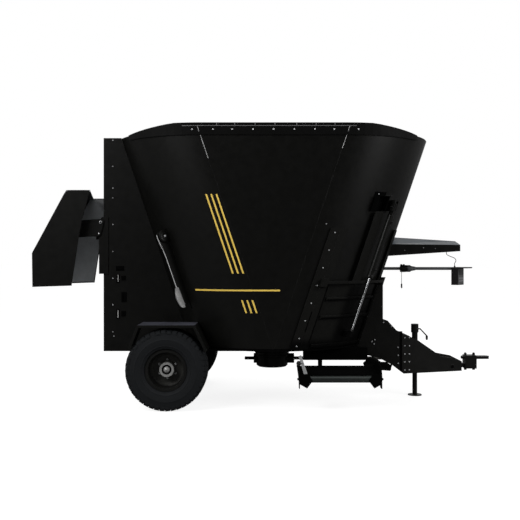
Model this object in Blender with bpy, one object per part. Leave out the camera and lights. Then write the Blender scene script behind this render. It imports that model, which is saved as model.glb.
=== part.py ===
"""Trailed vertical feed mixer wagon, as an assembly of its real pieces.

One upright auger turns in a tub with slanted round ends. The tub stands on two
rails, one axle and a parking jack. Metres, +X forward to the hitch, +Y left,
+Z up, with the ground at z = 0 and the middle of the length at x = 0.
"""

import math

import bmesh
import bpy
from mathutils import Matrix, Vector

# Whole wagon
half_length = 2.7075  # the tongue's tip and the hood's back sheet lie this far out
seat = 0.0003  # gap between two pieces that rest on each other
run = 0.006  # gap beside a piece that moves
facet = math.radians(5)  # the tub's plates are rolled in flats this wide

# Tub
tub_x = 0.0525  # the auger's axis
tub_radius = 1.05
tub_wall = 0.010
tub_flat_half = 0.8157  # half of the straight side at the rim
floor_z = 0.634
floor_thick = 0.016
floor_lip = 0.020
rim_z = 3.045
lean = tub_flat_half / (rim_z - floor_z)
wall_foot = floor_z + floor_thick + seat
tub_front = tub_x + tub_flat_half + tub_radius  # the rim's foremost point
tub_rear = tub_x - tub_flat_half - tub_radius
band_foot, band_top, band_thick = 2.995, 3.13, 0.008
band_end, band_full = 38, 74  # degrees: where the band ends, and where it has its full height

# Finishes: colour, roughness, metallic
finishes = {
    "black_paint": ((0.018, 0.018, 0.018), 0.42, 0.0),
    "grey_zinc": ((0.42, 0.43, 0.44), 0.45, 0.8),
    "bright_steel": ((0.62, 0.63, 0.65), 0.25, 1.0),
    "worn_steel": ((0.20, 0.19, 0.18), 0.50, 0.9),
    "tyre_rubber": ((0.022, 0.023, 0.024), 0.80, 0.0),
    "black_rubber": ((0.020, 0.020, 0.020), 0.70, 0.0),
    "grey_plastic": ((0.16, 0.16, 0.17), 0.55, 0.0),
}


def clear_scene():
    for obj in list(bpy.data.objects):
        bpy.data.objects.remove(obj, do_unlink=True)


def paint(name):
    """The finish of that name as a material, made at its first use."""
    if name in bpy.data.materials:
        return bpy.data.materials[name]
    colour, roughness, metallic = finishes[name]
    material = bpy.data.materials.new(name)
    material.use_nodes = True
    shader = material.node_tree.nodes["Principled BSDF"]
    shader.inputs["Base Color"].default_value = (*colour, 1.0)
    shader.inputs["Roughness"].default_value = roughness
    shader.inputs["Metallic"].default_value = metallic
    material.diffuse_color = (*colour, 1.0)
    return material


def mesh_object(bm):
    """Puts a bmesh into an object, faces turned out and round faces smooth."""
    bmesh.ops.remove_doubles(bm, verts=bm.verts, dist=1e-6)
    bmesh.ops.recalc_face_normals(bm, faces=bm.faces)
    mesh = bpy.data.meshes.new("shape")
    bm.to_mesh(mesh)
    bm.free()
    mesh.shade_smooth()
    mesh.set_sharp_from_angle(angle=math.radians(35))
    obj = bpy.data.objects.new("shape", mesh)
    bpy.context.scene.collection.objects.link(obj)
    return obj


def part(name, base, finish, join=(), cut=(), pivot=None):
    """Names a piece, with its joins and cuts kept as modifiers."""
    base.name = name
    base.data.name = name
    base.data.materials.append(paint(finish))
    for label, operation, tools in (("join", "UNION", join), ("cut", "DIFFERENCE", cut)):
        if not tools:
            continue
        group = bpy.data.collections.new(f"{name}_{label}")
        for tool in tools:
            tool.name = f"{name}_{label}"
            tool.hide_render = True
            tool.display_type = "WIRE"
            group.objects.link(tool)
        modifier = base.modifiers.new(label, "BOOLEAN")
        modifier.operation = operation
        modifier.operand_type = "COLLECTION"
        modifier.collection = group
    if pivot:
        base.parent = pivot
        base.matrix_parent_inverse = Matrix.Translation(pivot.location).inverted()
    return base


def pivot_at(name, place):
    """An empty on a joint's axis."""
    empty = bpy.data.objects.new(name, None)
    empty.location = place
    bpy.context.scene.collection.objects.link(empty)
    return empty


def upright(y):
    """Placement of a side outline (x, z), pushed towards -Y from y."""
    return Matrix.Translation((0, y, 0)) @ Matrix.Rotation(math.radians(90), 4, "X")


def across(x):
    """Placement of an end outline (y, z), pushed towards +X from x."""
    return Matrix(((0, 0, 1, x), (1, 0, 0, 0), (0, 1, 0, 0), (0, 0, 0, 1)))


def slant(end, z):
    """Placement of a plan outline, drawn at the floor, pushed up an end wall from z."""
    shear = Matrix.Identity(4)
    shear[0][2] = end * lean
    shear[0][3] = -end * lean * floor_z
    return shear @ Matrix.Translation((0, 0, z))


def prism(outline, place, depth):
    """An outline in the placement's XY plane, pushed along its Z by depth."""
    bm = bmesh.new()
    face = bm.faces.new([bm.verts.new(place @ Vector((u, v, 0))) for u, v in outline])
    pushed = bmesh.ops.extrude_face_region(bm, geom=[face])["geom"]
    moved = [item for item in pushed if isinstance(item, bmesh.types.BMVert)]
    bmesh.ops.translate(bm, verts=moved, vec=place.to_3x3() @ Vector((0, 0, depth)))
    return mesh_object(bm)


def slab(x0, x1, y0, y1, z0, z1):
    return prism([(x0, y0), (x1, y0), (x1, y1), (x0, y1)], Matrix.Translation((0, 0, z0)), z1 - z0)


def aimed(start, stop):
    """Placement whose Z runs from start towards stop, and the length between them."""
    start = Vector(start)
    way = Vector(stop) - start
    turn = way.to_track_quat("Z", "Y").to_matrix().to_4x4()
    return Matrix.Translation(start) @ turn, way.length


def rod(start, stop, radius, sides=16):
    place, length = aimed(start, stop)
    ring = [math.tau * i / sides for i in range(sides)]
    return prism([(radius * math.cos(a), radius * math.sin(a)) for a in ring], place, length)


def turned(profile, place, sides):
    """A closed profile of (radius, height), turned about the placement's Z."""
    bm = bmesh.new()
    points = [bm.verts.new((r, 0, h)) for r, h in profile]
    edges = [bm.edges.new((points[i - 1], points[i])) for i in range(len(points))]
    bmesh.ops.spin(
        bm,
        geom=points + edges,
        cent=(0, 0, 0),
        axis=(0, 0, 1),
        angle=math.tau,
        steps=sides,
        use_merge=True,
    )
    bmesh.ops.remove_doubles(bm, verts=bm.verts, dist=1e-6)
    on_axis = [edge for edge in bm.edges if edge.is_wire]
    bmesh.ops.delete(bm, geom=on_axis, context="EDGES")
    bm.transform(place)
    return mesh_object(bm)


def wire(name, points, radius, finish, pivot=None, resolution=2):
    """A bent round bar or a cord through the points."""
    curve = bpy.data.curves.new(name, "CURVE")
    curve.dimensions = "3D"
    curve.bevel_depth = radius
    curve.bevel_resolution = resolution
    curve.use_fill_caps = True
    spline = curve.splines.new("POLY")
    spline.points.add(len(points) - 1)
    for point, place in zip(spline.points, points):
        point.co = (*place, 1.0)
    obj = bpy.data.objects.new(name, curve)
    bpy.context.scene.collection.objects.link(obj)
    return part(name, obj, finish, pivot=pivot)


def smooth_route(points, count):
    """Points along a smooth curve through the given ones."""
    ends = [points[0] * 2 - points[1], *points, points[-1] * 2 - points[-2]]
    route = []
    spans = len(points) - 1
    for i in range(count + 1):
        along = spans * i / count
        k = min(int(along), spans - 1)
        t = along - k
        a, b, c, d = ends[k : k + 4]
        route.append(
            0.5 * (2 * b + (c - a) * t + (2 * a - 5 * b + 4 * c - d) * t**2 + (3 * b - a - 3 * c + d) * t**3)
        )
    return route


def wall_point(end, angle, radius):
    """Plan point at the floor on a flat-sided circle about the tub's axis.

    The angle runs from the end's middle towards the right side.
    """
    middle = (math.floor(angle / facet) + 0.5) * facet
    reach = radius * math.cos(facet / 2) / math.cos(angle - middle)
    return tub_x + end * reach * math.cos(angle), -reach * math.sin(angle)


def arc(end, start, stop, radius):
    """Plan points on an end wall between two angles in degrees, on the wall's own flats."""
    if start > stop:
        return arc(end, stop, start, radius)[::-1]
    start, stop = math.radians(start), math.radians(stop)
    first = math.floor(start / facet + 1e-6) + 1
    last = math.ceil(stop / facet - 1e-6) - 1
    angles = [start, *(i * facet for i in range(first, last + 1)), stop]
    return [wall_point(end, angle, radius) for angle in angles]


def strip(end, start, stop, inner, outer, z0, z1):
    """A curved strip that leans with an end wall."""
    outline = arc(end, start, stop, outer) + arc(end, start, stop, inner)[::-1]
    return prism(outline, slant(end, z0), z1 - z0)


def wall_face(end, z, y=0.0):
    """How far out an end wall's outside lies at a height, on a line at that y."""
    return tub_x + end * (lean * (z - floor_z) + math.sqrt((tub_radius + 0.001) ** 2 - y**2))


def wall_place(end, angle, radius, z):
    """World point on an end wall, for an angle in degrees."""
    a = math.radians(angle)
    shift = end * lean * (z - floor_z)
    return Vector((tub_x + shift + end * radius * math.cos(a), -radius * math.sin(a), z))


def tub_body(end, radius):
    """One leaning half of the tub as a solid, which trims what is welded to it."""
    outline = arc(end, -90, 90, radius)
    return prism(outline, slant(end, floor_z - 0.2), rim_z - floor_z + 0.4)


def bent(points, thickness):
    """Outline of a sheet bent through the points, its thickness laid on their right."""
    inner = []
    for i, point in enumerate(points):
        before = points[max(i - 1, 0)]
        after = points[min(i + 1, len(points) - 1)]
        ways = []
        for start, stop in ((before, point), (point, after)):
            if start != stop:
                ways.append((Vector(stop) - Vector(start)).normalized())
        normals = [Vector((way.y, -way.x)) for way in ways]
        middle = sum(normals, Vector((0, 0))).normalized()
        reach = thickness / middle.dot(normals[0])
        inner.append(tuple(Vector(point) + middle * reach))
    return list(points) + inner[::-1]


def softened(outline, radii):
    """The outline with the corners named in radii (index to radius) turned into short curves."""
    points = []
    for i, corner in enumerate(outline):
        if i not in radii:
            points.append(corner)
            continue
        corner = Vector(corner)
        ends = [Vector(outline[i - 1]), Vector(outline[(i + 1) % len(outline)])]
        start, stop = (corner + (end - corner).normalized() * radii[i] for end in ends)
        for step in range(4):
            t = step / 3
            points.append(tuple(start * (1 - t) ** 2 + corner * 2 * t * (1 - t) + stop * t**2))
    return points


def loft(rings):
    """Closed body through rings of as many points each, its ends capped."""
    bm = bmesh.new()
    made = [[bm.verts.new(point) for point in ring] for ring in rings]
    count = len(made[0])
    for low, high in zip(made, made[1:]):
        for i in range(count):
            bm.faces.new((low[i - 1], low[i], high[i], high[i - 1]))
    bm.faces.new(made[0])
    bm.faces.new(made[-1])
    bmesh.ops.triangulate(bm, faces=bm.faces)
    return mesh_object(bm)


# Side door, its window and its guides on the front right of the tub: angles in degrees
window_start, window_stop, window_top = 28.0, 66.0, 1.30
door_start, door_stop = 24.5, 71.5
door_foot, door_top = wall_foot + run, 1.355
door_in = tub_radius + run
door_plate = 0.008
door_rib = 0.026
rib_heights = (0.675, 0.99, 1.19)
guide_slack = 0.5
guide_lip = 0.008
guide_top = 1.98
belt_low, belt_high = 1.37, 1.40

# Side door's cylinder
ram_angle = 45.5
ram_stand = 0.105  # from the tub's wall to the cylinder's axis
ram_reach = tub_radius + ram_stand
ram_barrel = 0.035
ram_rod = 0.0125
ram_slack = 0.0008
ram_mouth, ram_cap = 1.44, 2.13
ram_lug_low, ram_lug_high = 0.77, 0.83
ram_pin_z = 2.225

# Rear door box
box_half = 0.475  # outer faces of its side plates
box_plate = 0.008
box_back = tub_rear - 0.1018
box_foot, box_top = 0.57, 3.05
rear_window_half, rear_window_top = 24.5, 1.45
back_plate_x = box_back + 0.083  # rear face of the plate above the rear door
back_plate_foot = 1.50
rear_door_plate = 0.008
rear_door_foot, rear_door_top = 0.60, 1.53
rear_ram_x = box_back + 0.033

# Rear hood
hood_half = 0.62
hood_sheet = 0.006
hood_pin_x, hood_pin_z = box_back - 0.03, 2.07
hood_reach = half_length + hood_pin_x  # from its pins back to its rear sheet
hood_top, hood_foot = 2.433, 1.337
hood_profile = [
    (hood_pin_x - 0.1272 * hood_reach, hood_top),
    (hood_pin_x - 0.4879 * hood_reach, hood_top),
    (-half_length, 1.711),
    (-half_length + 0.005, hood_foot - 0.015),
    (hood_pin_x - 0.4052 * hood_reach, hood_foot),
    (hood_pin_x - 0.2925 * hood_reach, 1.906),
    (hood_pin_x - 0.2479 * hood_reach, 2.089),
]

# Hay restrictors: a blade in a slot, in the plane of the wall's slant
restrictor_angle = 43.0
restrictor_pivot_z = 1.893
restrictor_stand = 0.06
restrictor_thick = 0.010
restrictor_slot = 0.022
restrictors = (("right", -1, 1), ("left", 1, -1))  # name, end, side the angle opens to

# Wheels and axle
axle_z = 0.441
tyre_radius, tyre_width = axle_z, 0.40
track_half = 1.0
wheel_gap = 0.006  # between the tyre's inner corner and the floor's lip, in plan
wheel_reach = tub_radius + floor_lip + wheel_gap
axle_x = tub_x - tyre_radius - math.sqrt(wheel_reach**2 - (track_half - tyre_width / 2) ** 2)
spindle = 0.035

# Frame
rail_out = tub_radius / 3
rail_plate = 0.012
rail_foot = 0.555
rail_back = axle_x - 0.142
bar_split_x = tub_x + tub_radius + 0.4825
bar_taper = 0.274
bar_end_x = half_length - 0.3645
bar_length = bar_end_x - bar_split_x
shaft_z = 0.431
shaft_end_x = bar_split_x + 0.6134 * bar_length
shaft_radius = 0.020

# Jack
jack_x, jack_y = bar_split_x + 0.2507 * bar_length, -0.13
jack_tube, jack_leg = 0.035, 0.0288

# Discharge tray
tray_x0, tray_x1 = 0.325, 1.215
tray_pin_y, tray_pin_z = -0.71, 0.43
tray_plate = 0.008
tray_lug = 0.020  # from the tray's side plates to the lugs that carry them
roller_y, roller_z, roller_radius = -1.15, 0.348, 0.0375
beam_x0, beam_x1, beam_foot = 0.396, 1.126, 0.494

# Canopy and scale indicator
arm_z = 1.527
arm_radius = 0.018
canopy_end = tub_front + 0.3768
gland_x = canopy_end - 0.105
indicator_x = canopy_end + 0.030
clamp_x = canopy_end - 0.669
lanyard_x = clamp_x + 0.014


def restrictor_frame(end, side):
    """Pivot point and the two in-plane directions: down the wall, and out from it."""
    angle = side * restrictor_angle
    pivot = wall_place(end, angle, tub_radius + restrictor_stand, restrictor_pivot_z)
    a = math.radians(angle)
    normal = Vector((end * math.cos(a), -math.sin(a), 0))
    down = -Vector((end * lean, 0, 1)).normalized()
    out = (normal - normal.dot(down) * down).normalized()
    return pivot, down, out


def restrictor_plate(end, side, outline, thickness, offset=0.0):
    """A plate drawn as (down the wall, out from it), centred on the blade's plane."""
    pivot, down, out = restrictor_frame(end, side)
    axis = down.cross(out)
    place = Matrix((down, out, axis)).transposed().to_4x4()
    place.translation = pivot + axis * (offset - thickness / 2)
    return prism(outline, place, thickness)


def rim_band(side):
    """An upright belt round one side of the rim, its ends tapered down to the wall."""
    rings = []
    for end in (1, -1):
        angles = [band_end, *range(40, 90, 5), 90]
        for angle in angles[:: 1 if end > 0 else -1]:
            share = min(1.0, (angle - band_end) / (band_full - band_end))
            top = rim_z + 0.006 + (band_top - rim_z - 0.006) * share
            ring = []
            for radius, z in (
                (tub_radius + seat, band_foot),
                (tub_radius + seat + band_thick, band_foot),
                (tub_radius + seat + band_thick, top),
                (tub_radius + seat, top),
            ):
                x, y = wall_point(end, math.radians(min(angle, 89.999)), radius)
                ring.append((x + end * tub_flat_half, side * y, z))
            rings.append(ring)
    return loft(rings)


def make_tub():
    front_cuts = [
        prism(
            arc(1, window_start, window_stop, 1.2) + arc(1, window_start, window_stop, 0.9)[::-1],
            slant(1, floor_z - 0.1),
            window_top - floor_z + 0.1,
        )
    ]
    rear_cuts = [strip(-1, -rear_window_half, rear_window_half, 0.9, 1.2, floor_z - 0.1, rear_window_top)]
    slot = [(0.03, -0.13), (0.86, -0.13), (0.86, 0.05), (0.03, 0.05)]
    rear_cuts.append(restrictor_plate(-1, 1, slot, restrictor_slot))
    front_cuts.append(restrictor_plate(1, -1, slot, restrictor_slot))
    inner = tub_radius - tub_wall
    for name, end, cuts in (("tub_front_wall", 1, front_cuts), ("tub_rear_wall", -1, rear_cuts)):
        part(name, strip(end, -90, 90, inner, tub_radius, wall_foot, rim_z), "black_paint", cut=cuts)
    foot_half = lean * (wall_foot - floor_z) - 2 * seat
    panel = [
        (tub_x - foot_half, wall_foot),
        (tub_x + foot_half, wall_foot),
        (tub_x + tub_flat_half - 2 * seat, rim_z),
        (tub_x - tub_flat_half + 2 * seat, rim_z),
    ]
    for name, y in (("tub_side_right", -inner), ("tub_side_left", tub_radius)):
        part(name, prism(panel, upright(y), tub_wall), "black_paint")
    ring = arc(1, -90, 90, tub_radius + floor_lip) + arc(-1, -90, 90, tub_radius + floor_lip)[::-1][1:-1]
    floor = prism(ring, Matrix.Translation((0, 0, floor_z)), floor_thick)
    hole = rod((tub_x, 0, floor_z - 0.1), (tub_x, 0, floor_z + 0.1), 0.15, 24)
    part("tub_floor", floor, "black_paint", cut=[hole])
    for name, side in (("rim_band_right", 1), ("rim_band_left", -1)):
        part(name, rim_band(side), "black_rubber")


def make_side_door():
    lip_in = door_in + door_plate + run
    lip_out = lip_in + guide_lip
    foot = wall_foot + seat
    right, left = door_start - guide_slack, door_stop + guide_slack
    guide = strip(1, right - 3.5, right, tub_radius + seat, lip_in + 0.004, foot, guide_top)
    belt_in = door_in + door_plate + door_rib + run
    belt_out = belt_in + 0.034
    joins = [
        strip(1, right - 3.5, right + 2, lip_in, lip_out, foot, guide_top),
        strip(1, left, left + 8.7, tub_radius + seat, lip_in + 0.004, foot, guide_top),
        strip(1, left - 2, left + 3, lip_in, lip_out, foot, guide_top),
        strip(1, right - 3.5, left + 4, belt_in, belt_out, belt_low, belt_high),
        strip(1, right - 3.5, right - 0.3, lip_in, belt_out, belt_low - 0.03, belt_high + 0.03),
        strip(1, left + 0.3, left + 4, lip_in, belt_out, belt_low - 0.03, belt_high + 0.03),
        strip(1, 49.5, 56, belt_in + 0.004, belt_in + 0.012, belt_high - 0.01, 2.17),
        strip(1, 52, 54, tub_radius + seat, belt_in + 0.008, 2.12, 2.16),
    ]
    part("side_door_frame", guide, "black_paint", join=joins)

    slide = pivot_at("side_door_slide", wall_place(1, ram_angle, ram_reach, ram_lug_low))
    plate = strip(1, door_start, door_stop, door_in, door_in + door_plate, door_foot, door_top)
    rib_out = door_in + door_plate + door_rib
    ribs = [strip(1, door_start + 2.5, door_stop - 2.5, door_in + 0.004, rib_out, z, z + 0.03) for z in rib_heights]
    lug = strip(1, ram_angle - 1.2, ram_angle + 1.2, door_in + 0.004, ram_reach + 0.02, ram_lug_low, ram_lug_high)
    stop = wall_place(1, ram_angle, ram_reach, ram_mouth + 0.035)
    part("side_door", plate, "black_paint", join=[*ribs, lug], pivot=slide)
    start = wall_place(1, ram_angle, ram_reach, ram_lug_high + ram_rod * lean + seat)
    part("side_door_rod", rod(start, stop, ram_rod), "bright_steel", pivot=slide)

    mouth = wall_place(1, ram_angle, ram_reach, ram_mouth)
    cap = wall_place(1, ram_angle, ram_reach, ram_cap)
    bore = rod(
        wall_place(1, ram_angle, ram_reach, ram_mouth - 0.05),
        wall_place(1, ram_angle, ram_reach, ram_cap - 0.07),
        ram_rod + ram_slack,
    )
    pin_start = wall_place(1, ram_angle - 2.0, ram_reach, ram_pin_z)
    pin_stop = wall_place(1, ram_angle + 2.0, ram_reach, ram_pin_z)
    eye = strip(1, ram_angle - 0.6, ram_angle + 0.6, ram_reach - 0.03, ram_reach + 0.03, ram_cap - 0.02, 2.26)
    hole = rod(pin_start, pin_stop, 0.0123)
    part("side_door_barrel", rod(mouth, cap, ram_barrel, 20), "black_paint", join=[eye], cut=[bore, hole])
    base = strip(1, 41, 50, tub_radius + seat, tub_radius + 0.010, 2.17, 2.36)
    cheeks = [
        strip(1, ram_angle + low, ram_angle + low + 0.5, tub_radius + 0.005, ram_reach + 0.03, 2.18, 2.30)
        for low in (-1.4, 0.9)
    ]
    pin = rod(pin_start, pin_stop, 0.012)
    part("side_door_bracket", base, "black_paint", join=[*cheeks, pin])


def make_rear_door():
    inner = box_half - box_plate

    def wall_x(z, y):
        return wall_face(-1, z, y) - seat

    lip_x = tub_x - math.sqrt((tub_radius + floor_lip) ** 2 - inner**2) - 0.002
    side = [
        (box_back, box_foot),
        (lip_x, box_foot),
        (lip_x, wall_foot),
        (wall_x(wall_foot, inner), wall_foot),
        (wall_x(box_top, inner), box_top),
        (box_back, box_top),
    ]
    plates = [prism(side, upright(y), box_plate) for y in (-inner, box_half)]
    ledge = back_plate_x + 0.008
    back = slab(back_plate_x, ledge, -box_half + 0.004, box_half - 0.004, back_plate_foot, box_top)
    bottom_x = tub_x - tub_radius - floor_lip - seat
    bottom = slab(back_plate_x, bottom_x, -box_half + 0.004, box_half - 0.004, floor_z, floor_z + 0.008)
    joins = [plates[1], back, bottom]
    door_back = back_plate_x - run - rear_door_plate
    for side_y in (-1, 1):
        ys = sorted((side_y * (inner - 0.032), side_y * (box_half - 0.004)))
        joins.append(slab(back_plate_x, ledge, *ys, floor_z + 0.004, back_plate_foot + 0.01))
        joins.append(slab(door_back - run - 0.008, door_back - run, *ys, rear_door_foot, 2.30))
        bracket = [(x + box_back, z) for x, z in ((-0.052, 1.47), (0.055, 1.47), (0.055, 2.13), (-0.015, 2.13), (-0.052, 2.09))]
        joins.append(prism(bracket, upright(side_y * 0.4785 + 0.0085), 0.017))
        ends = sorted((side_y * 0.48, side_y * 0.512))
        joins.append(rod((hood_pin_x, ends[0], hood_pin_z), (hood_pin_x, ends[1], hood_pin_z), 0.012))
    part("rear_frame", plates[0], "black_paint", join=joins)

    slide = pivot_at("rear_door_slide", (door_back, 0, rear_door_foot))
    half = inner - 0.012
    plate = slab(door_back, door_back + rear_door_plate, -half, half, rear_door_foot, rear_door_top)
    lug = slab(rear_ram_x - 0.02, door_back + 0.004, -0.03, 0.03, 1.12, 1.18)
    ribs = [slab(door_back - 0.012, door_back + 0.004, -half + 0.05, half - 0.05, z, z + 0.03) for z in (0.62, 0.9)]
    part("rear_door", plate, "black_paint", join=[lug, *ribs], pivot=slide)
    part("rear_door_rod", rod((rear_ram_x, 0, 1.18 + seat), (rear_ram_x, 0, 1.99), ram_rod), "bright_steel", pivot=slide)
    barrel = rod((rear_ram_x, 0, 1.95), (rear_ram_x, 0, 2.92), 0.030, 20)
    mount = slab(rear_ram_x, back_plate_x - seat, -0.02, 0.02, 2.86, 2.90)
    bore = rod((rear_ram_x, 0, 1.9), (rear_ram_x, 0, 2.84), ram_rod + ram_slack)
    part("rear_door_barrel", barrel, "black_paint", join=[mount], cut=[bore])


def make_hood():
    hinge = pivot_at("hood_hinge", (hood_pin_x, 0, hood_pin_z))
    shell = prism(softened(hood_profile, {0: 0.04, 1: 0.05}), upright(hood_half), 2 * hood_half)
    mouth = hood_pin_x + 0.05
    inside = [
        (mouth, hood_top - hood_sheet),
        (hood_profile[1][0] + 0.004, hood_top - hood_sheet),
        (-half_length + hood_sheet, 1.710),
        (-half_length + hood_sheet + 0.005, hood_foot - 0.14),
        (mouth, hood_foot - 0.14),
    ]
    inner_half = hood_half - hood_sheet
    hollow = prism(softened(inside, {1: 0.046}), upright(inner_half), 2 * inner_half)
    front_right, front_left = hood_pin_x - 0.128 * hood_reach, hood_pin_x - 0.423 * hood_reach
    edge = [(mouth, -inner_half), (mouth, inner_half), (front_left, inner_half), (front_right, -inner_half)]
    clear = prism(edge, Matrix.Translation((0, 0, hood_top - 0.02)), 0.04)
    part("rear_hood", shell, "black_paint", cut=[hollow, clear], pivot=hinge)
    far = 0.3475 * hood_reach
    arm = [(-far, -0.175), (-0.035, -0.165), (0.0, -0.15), (0.030, -0.025), (0.035, 0.02), (0.005, 0.04)]
    arm.append((0.02 - far, 0.02))
    arm = [(hood_pin_x + x, hood_pin_z + z) for x, z in arm]
    for name, side in (("hood_arm_right", -1), ("hood_arm_left", 1)):
        inner, outer = 0.493, 0.503
        plate = prism(arm, upright(max(side * inner, side * outer)), outer - inner)
        ys = sorted((side * (inner + 0.002), side * (hood_half - hood_sheet - seat)))
        spacer = slab(hood_pin_x - far + 0.01, hood_pin_x - far + 0.05, *ys, hood_pin_z - 0.10, hood_pin_z - 0.01)
        hole = rod((hood_pin_x, -0.6, hood_pin_z), (hood_pin_x, 0.6, hood_pin_z), 0.0128)
        part(name, plate, "black_paint", join=[spacer], cut=[hole], pivot=hinge)


def make_restrictors():
    for name, end, side in restrictors:
        pivot, down, out = restrictor_frame(end, side)
        axis = down.cross(out)
        hinge = pivot_at(f"restrictor_hinge_{name}", pivot)
        foot = -0.0577
        blade = [
            (-0.045, -0.030),
            (-0.045, 0.030),
            (0.03, 0.045),
            (0.78, 0.060),
            (0.80, 0.0),
            (0.80, -0.066),
            (0.14, -0.066),
            (0.06, -0.045),
        ]
        arm = restrictor_plate(end, side, blade, restrictor_thick)
        hole = rod(pivot - axis * 0.1, pivot + axis * 0.1, 0.0128)
        part(f"restrictor_{name}", arm, "black_paint", cut=[hole], pivot=hinge)
        cheek = [(-0.085, foot), (0.085, foot), (0.06, 0.03), (0.03, 0.05), (-0.03, 0.05), (-0.06, 0.03)]
        offset = restrictor_slot / 2 + 0.004
        cheeks = [restrictor_plate(end, side, cheek, 0.008, offset * k) for k in (-1, 1)]
        pin = rod(pivot - axis * 0.022, pivot + axis * 0.022, 0.012)
        bridge = [(-0.085, foot), (-0.06, foot), (-0.055, 0.01), (-0.075, 0.01)]
        web = restrictor_plate(end, side, bridge, restrictor_slot + 0.008)
        part(f"restrictor_bracket_{name}", cheeks[0], "black_paint", join=[cheeks[1], pin, web])


def make_wheels():
    tyre_profile = [
        (0.205, -0.149),
        (0.2285, -0.1545),
        (0.231, -0.172),
        (0.26, -0.190),
        (0.33, -0.200),
        (0.395, -0.193),
        (0.425, -0.172),
        (0.437, -0.130),
        (tyre_radius, 0.0),
    ]
    tyre_profile += [(r, -h) for r, h in tyre_profile[-2::-1]]
    rim_profile = [
        (0.082, 0.0),
        (0.15, 0.0),
        (0.188, 0.03),
        (0.196, 0.155),
        (0.196, 0.163),
        (0.228, 0.163),
        (0.228, 0.156),
        (0.2045, 0.150),
        (0.2045, -0.150),
        (0.228, -0.156),
        (0.228, -0.163),
        (0.196, -0.163),
        (0.190, -0.02),
        (0.15, -0.012),
        (0.082, -0.012),
    ]
    hub_profile = [
        (0.0, 0.075),
        (0.053, 0.075),
        (0.055, 0.09),
        (0.080, 0.09),
        (0.0815, 0.06),
        (0.0815, -0.0123),
        (0.125, -0.0123),
        (0.125, -0.026),
        (0.065, -0.030),
        (0.060, -0.100),
        (spindle + ram_slack, -0.100),
        (spindle + ram_slack, 0.030),
        (0.0, 0.030),
    ]
    pieces = (
        ("tyre", tyre_profile, 32, "tyre_rubber"),
        ("rim", rim_profile, 32, "black_paint"),
        ("hub", hub_profile, 20, "grey_zinc"),
    )
    for name, side in (("right", -1), ("left", 1)):
        hub_place = Vector((axle_x, side * track_half, axle_z))
        turn = pivot_at(f"wheel_{name}_axis", hub_place)
        place = Matrix.Translation(hub_place) @ Matrix.Rotation(math.radians(-90 * side), 4, "X")
        for piece, profile, sides, finish in pieces:
            part(f"{piece}_{name}", turned(profile, place, sides), finish, pivot=turn)
    beam = slab(axle_x - 0.05, axle_x + 0.05, -0.88, 0.88, axle_z - 0.05, axle_z + 0.05)
    joins = []
    for side in (-1, 1):
        joins.append(rod((axle_x, side * 0.87, axle_z), (axle_x, side * 1.029, axle_z), spindle, 24))
        ys = sorted((side * (rail_out - 0.04), side * (rail_out + 0.02)))
        joins.append(slab(axle_x - 0.09, axle_x + 0.09, *ys, axle_z + 0.04, rail_foot - seat))
    part("axle_beam", beam, "black_paint", join=joins)
    top = [(axle_x + x, z) for x, z in ((-0.404, 0.68), (-0.306, 0.93), (0.313, 0.93), (0.446, 0.655))]
    for name, side in (("fender_right", -1), ("fender_left", 1)):
        sheet = prism(bent(top, 0.004), upright(max(side * 0.735, side * 1.187)), 0.452)
        bead = [(x, z + 0.001) for x, z in top]
        edge = prism(bent(bead, 0.028), upright(side * 1.188 + 0.002), 0.004)
        part(name, sheet, "black_paint", join=[edge], cut=[tub_body(-1, tub_radius + seat)])


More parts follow.
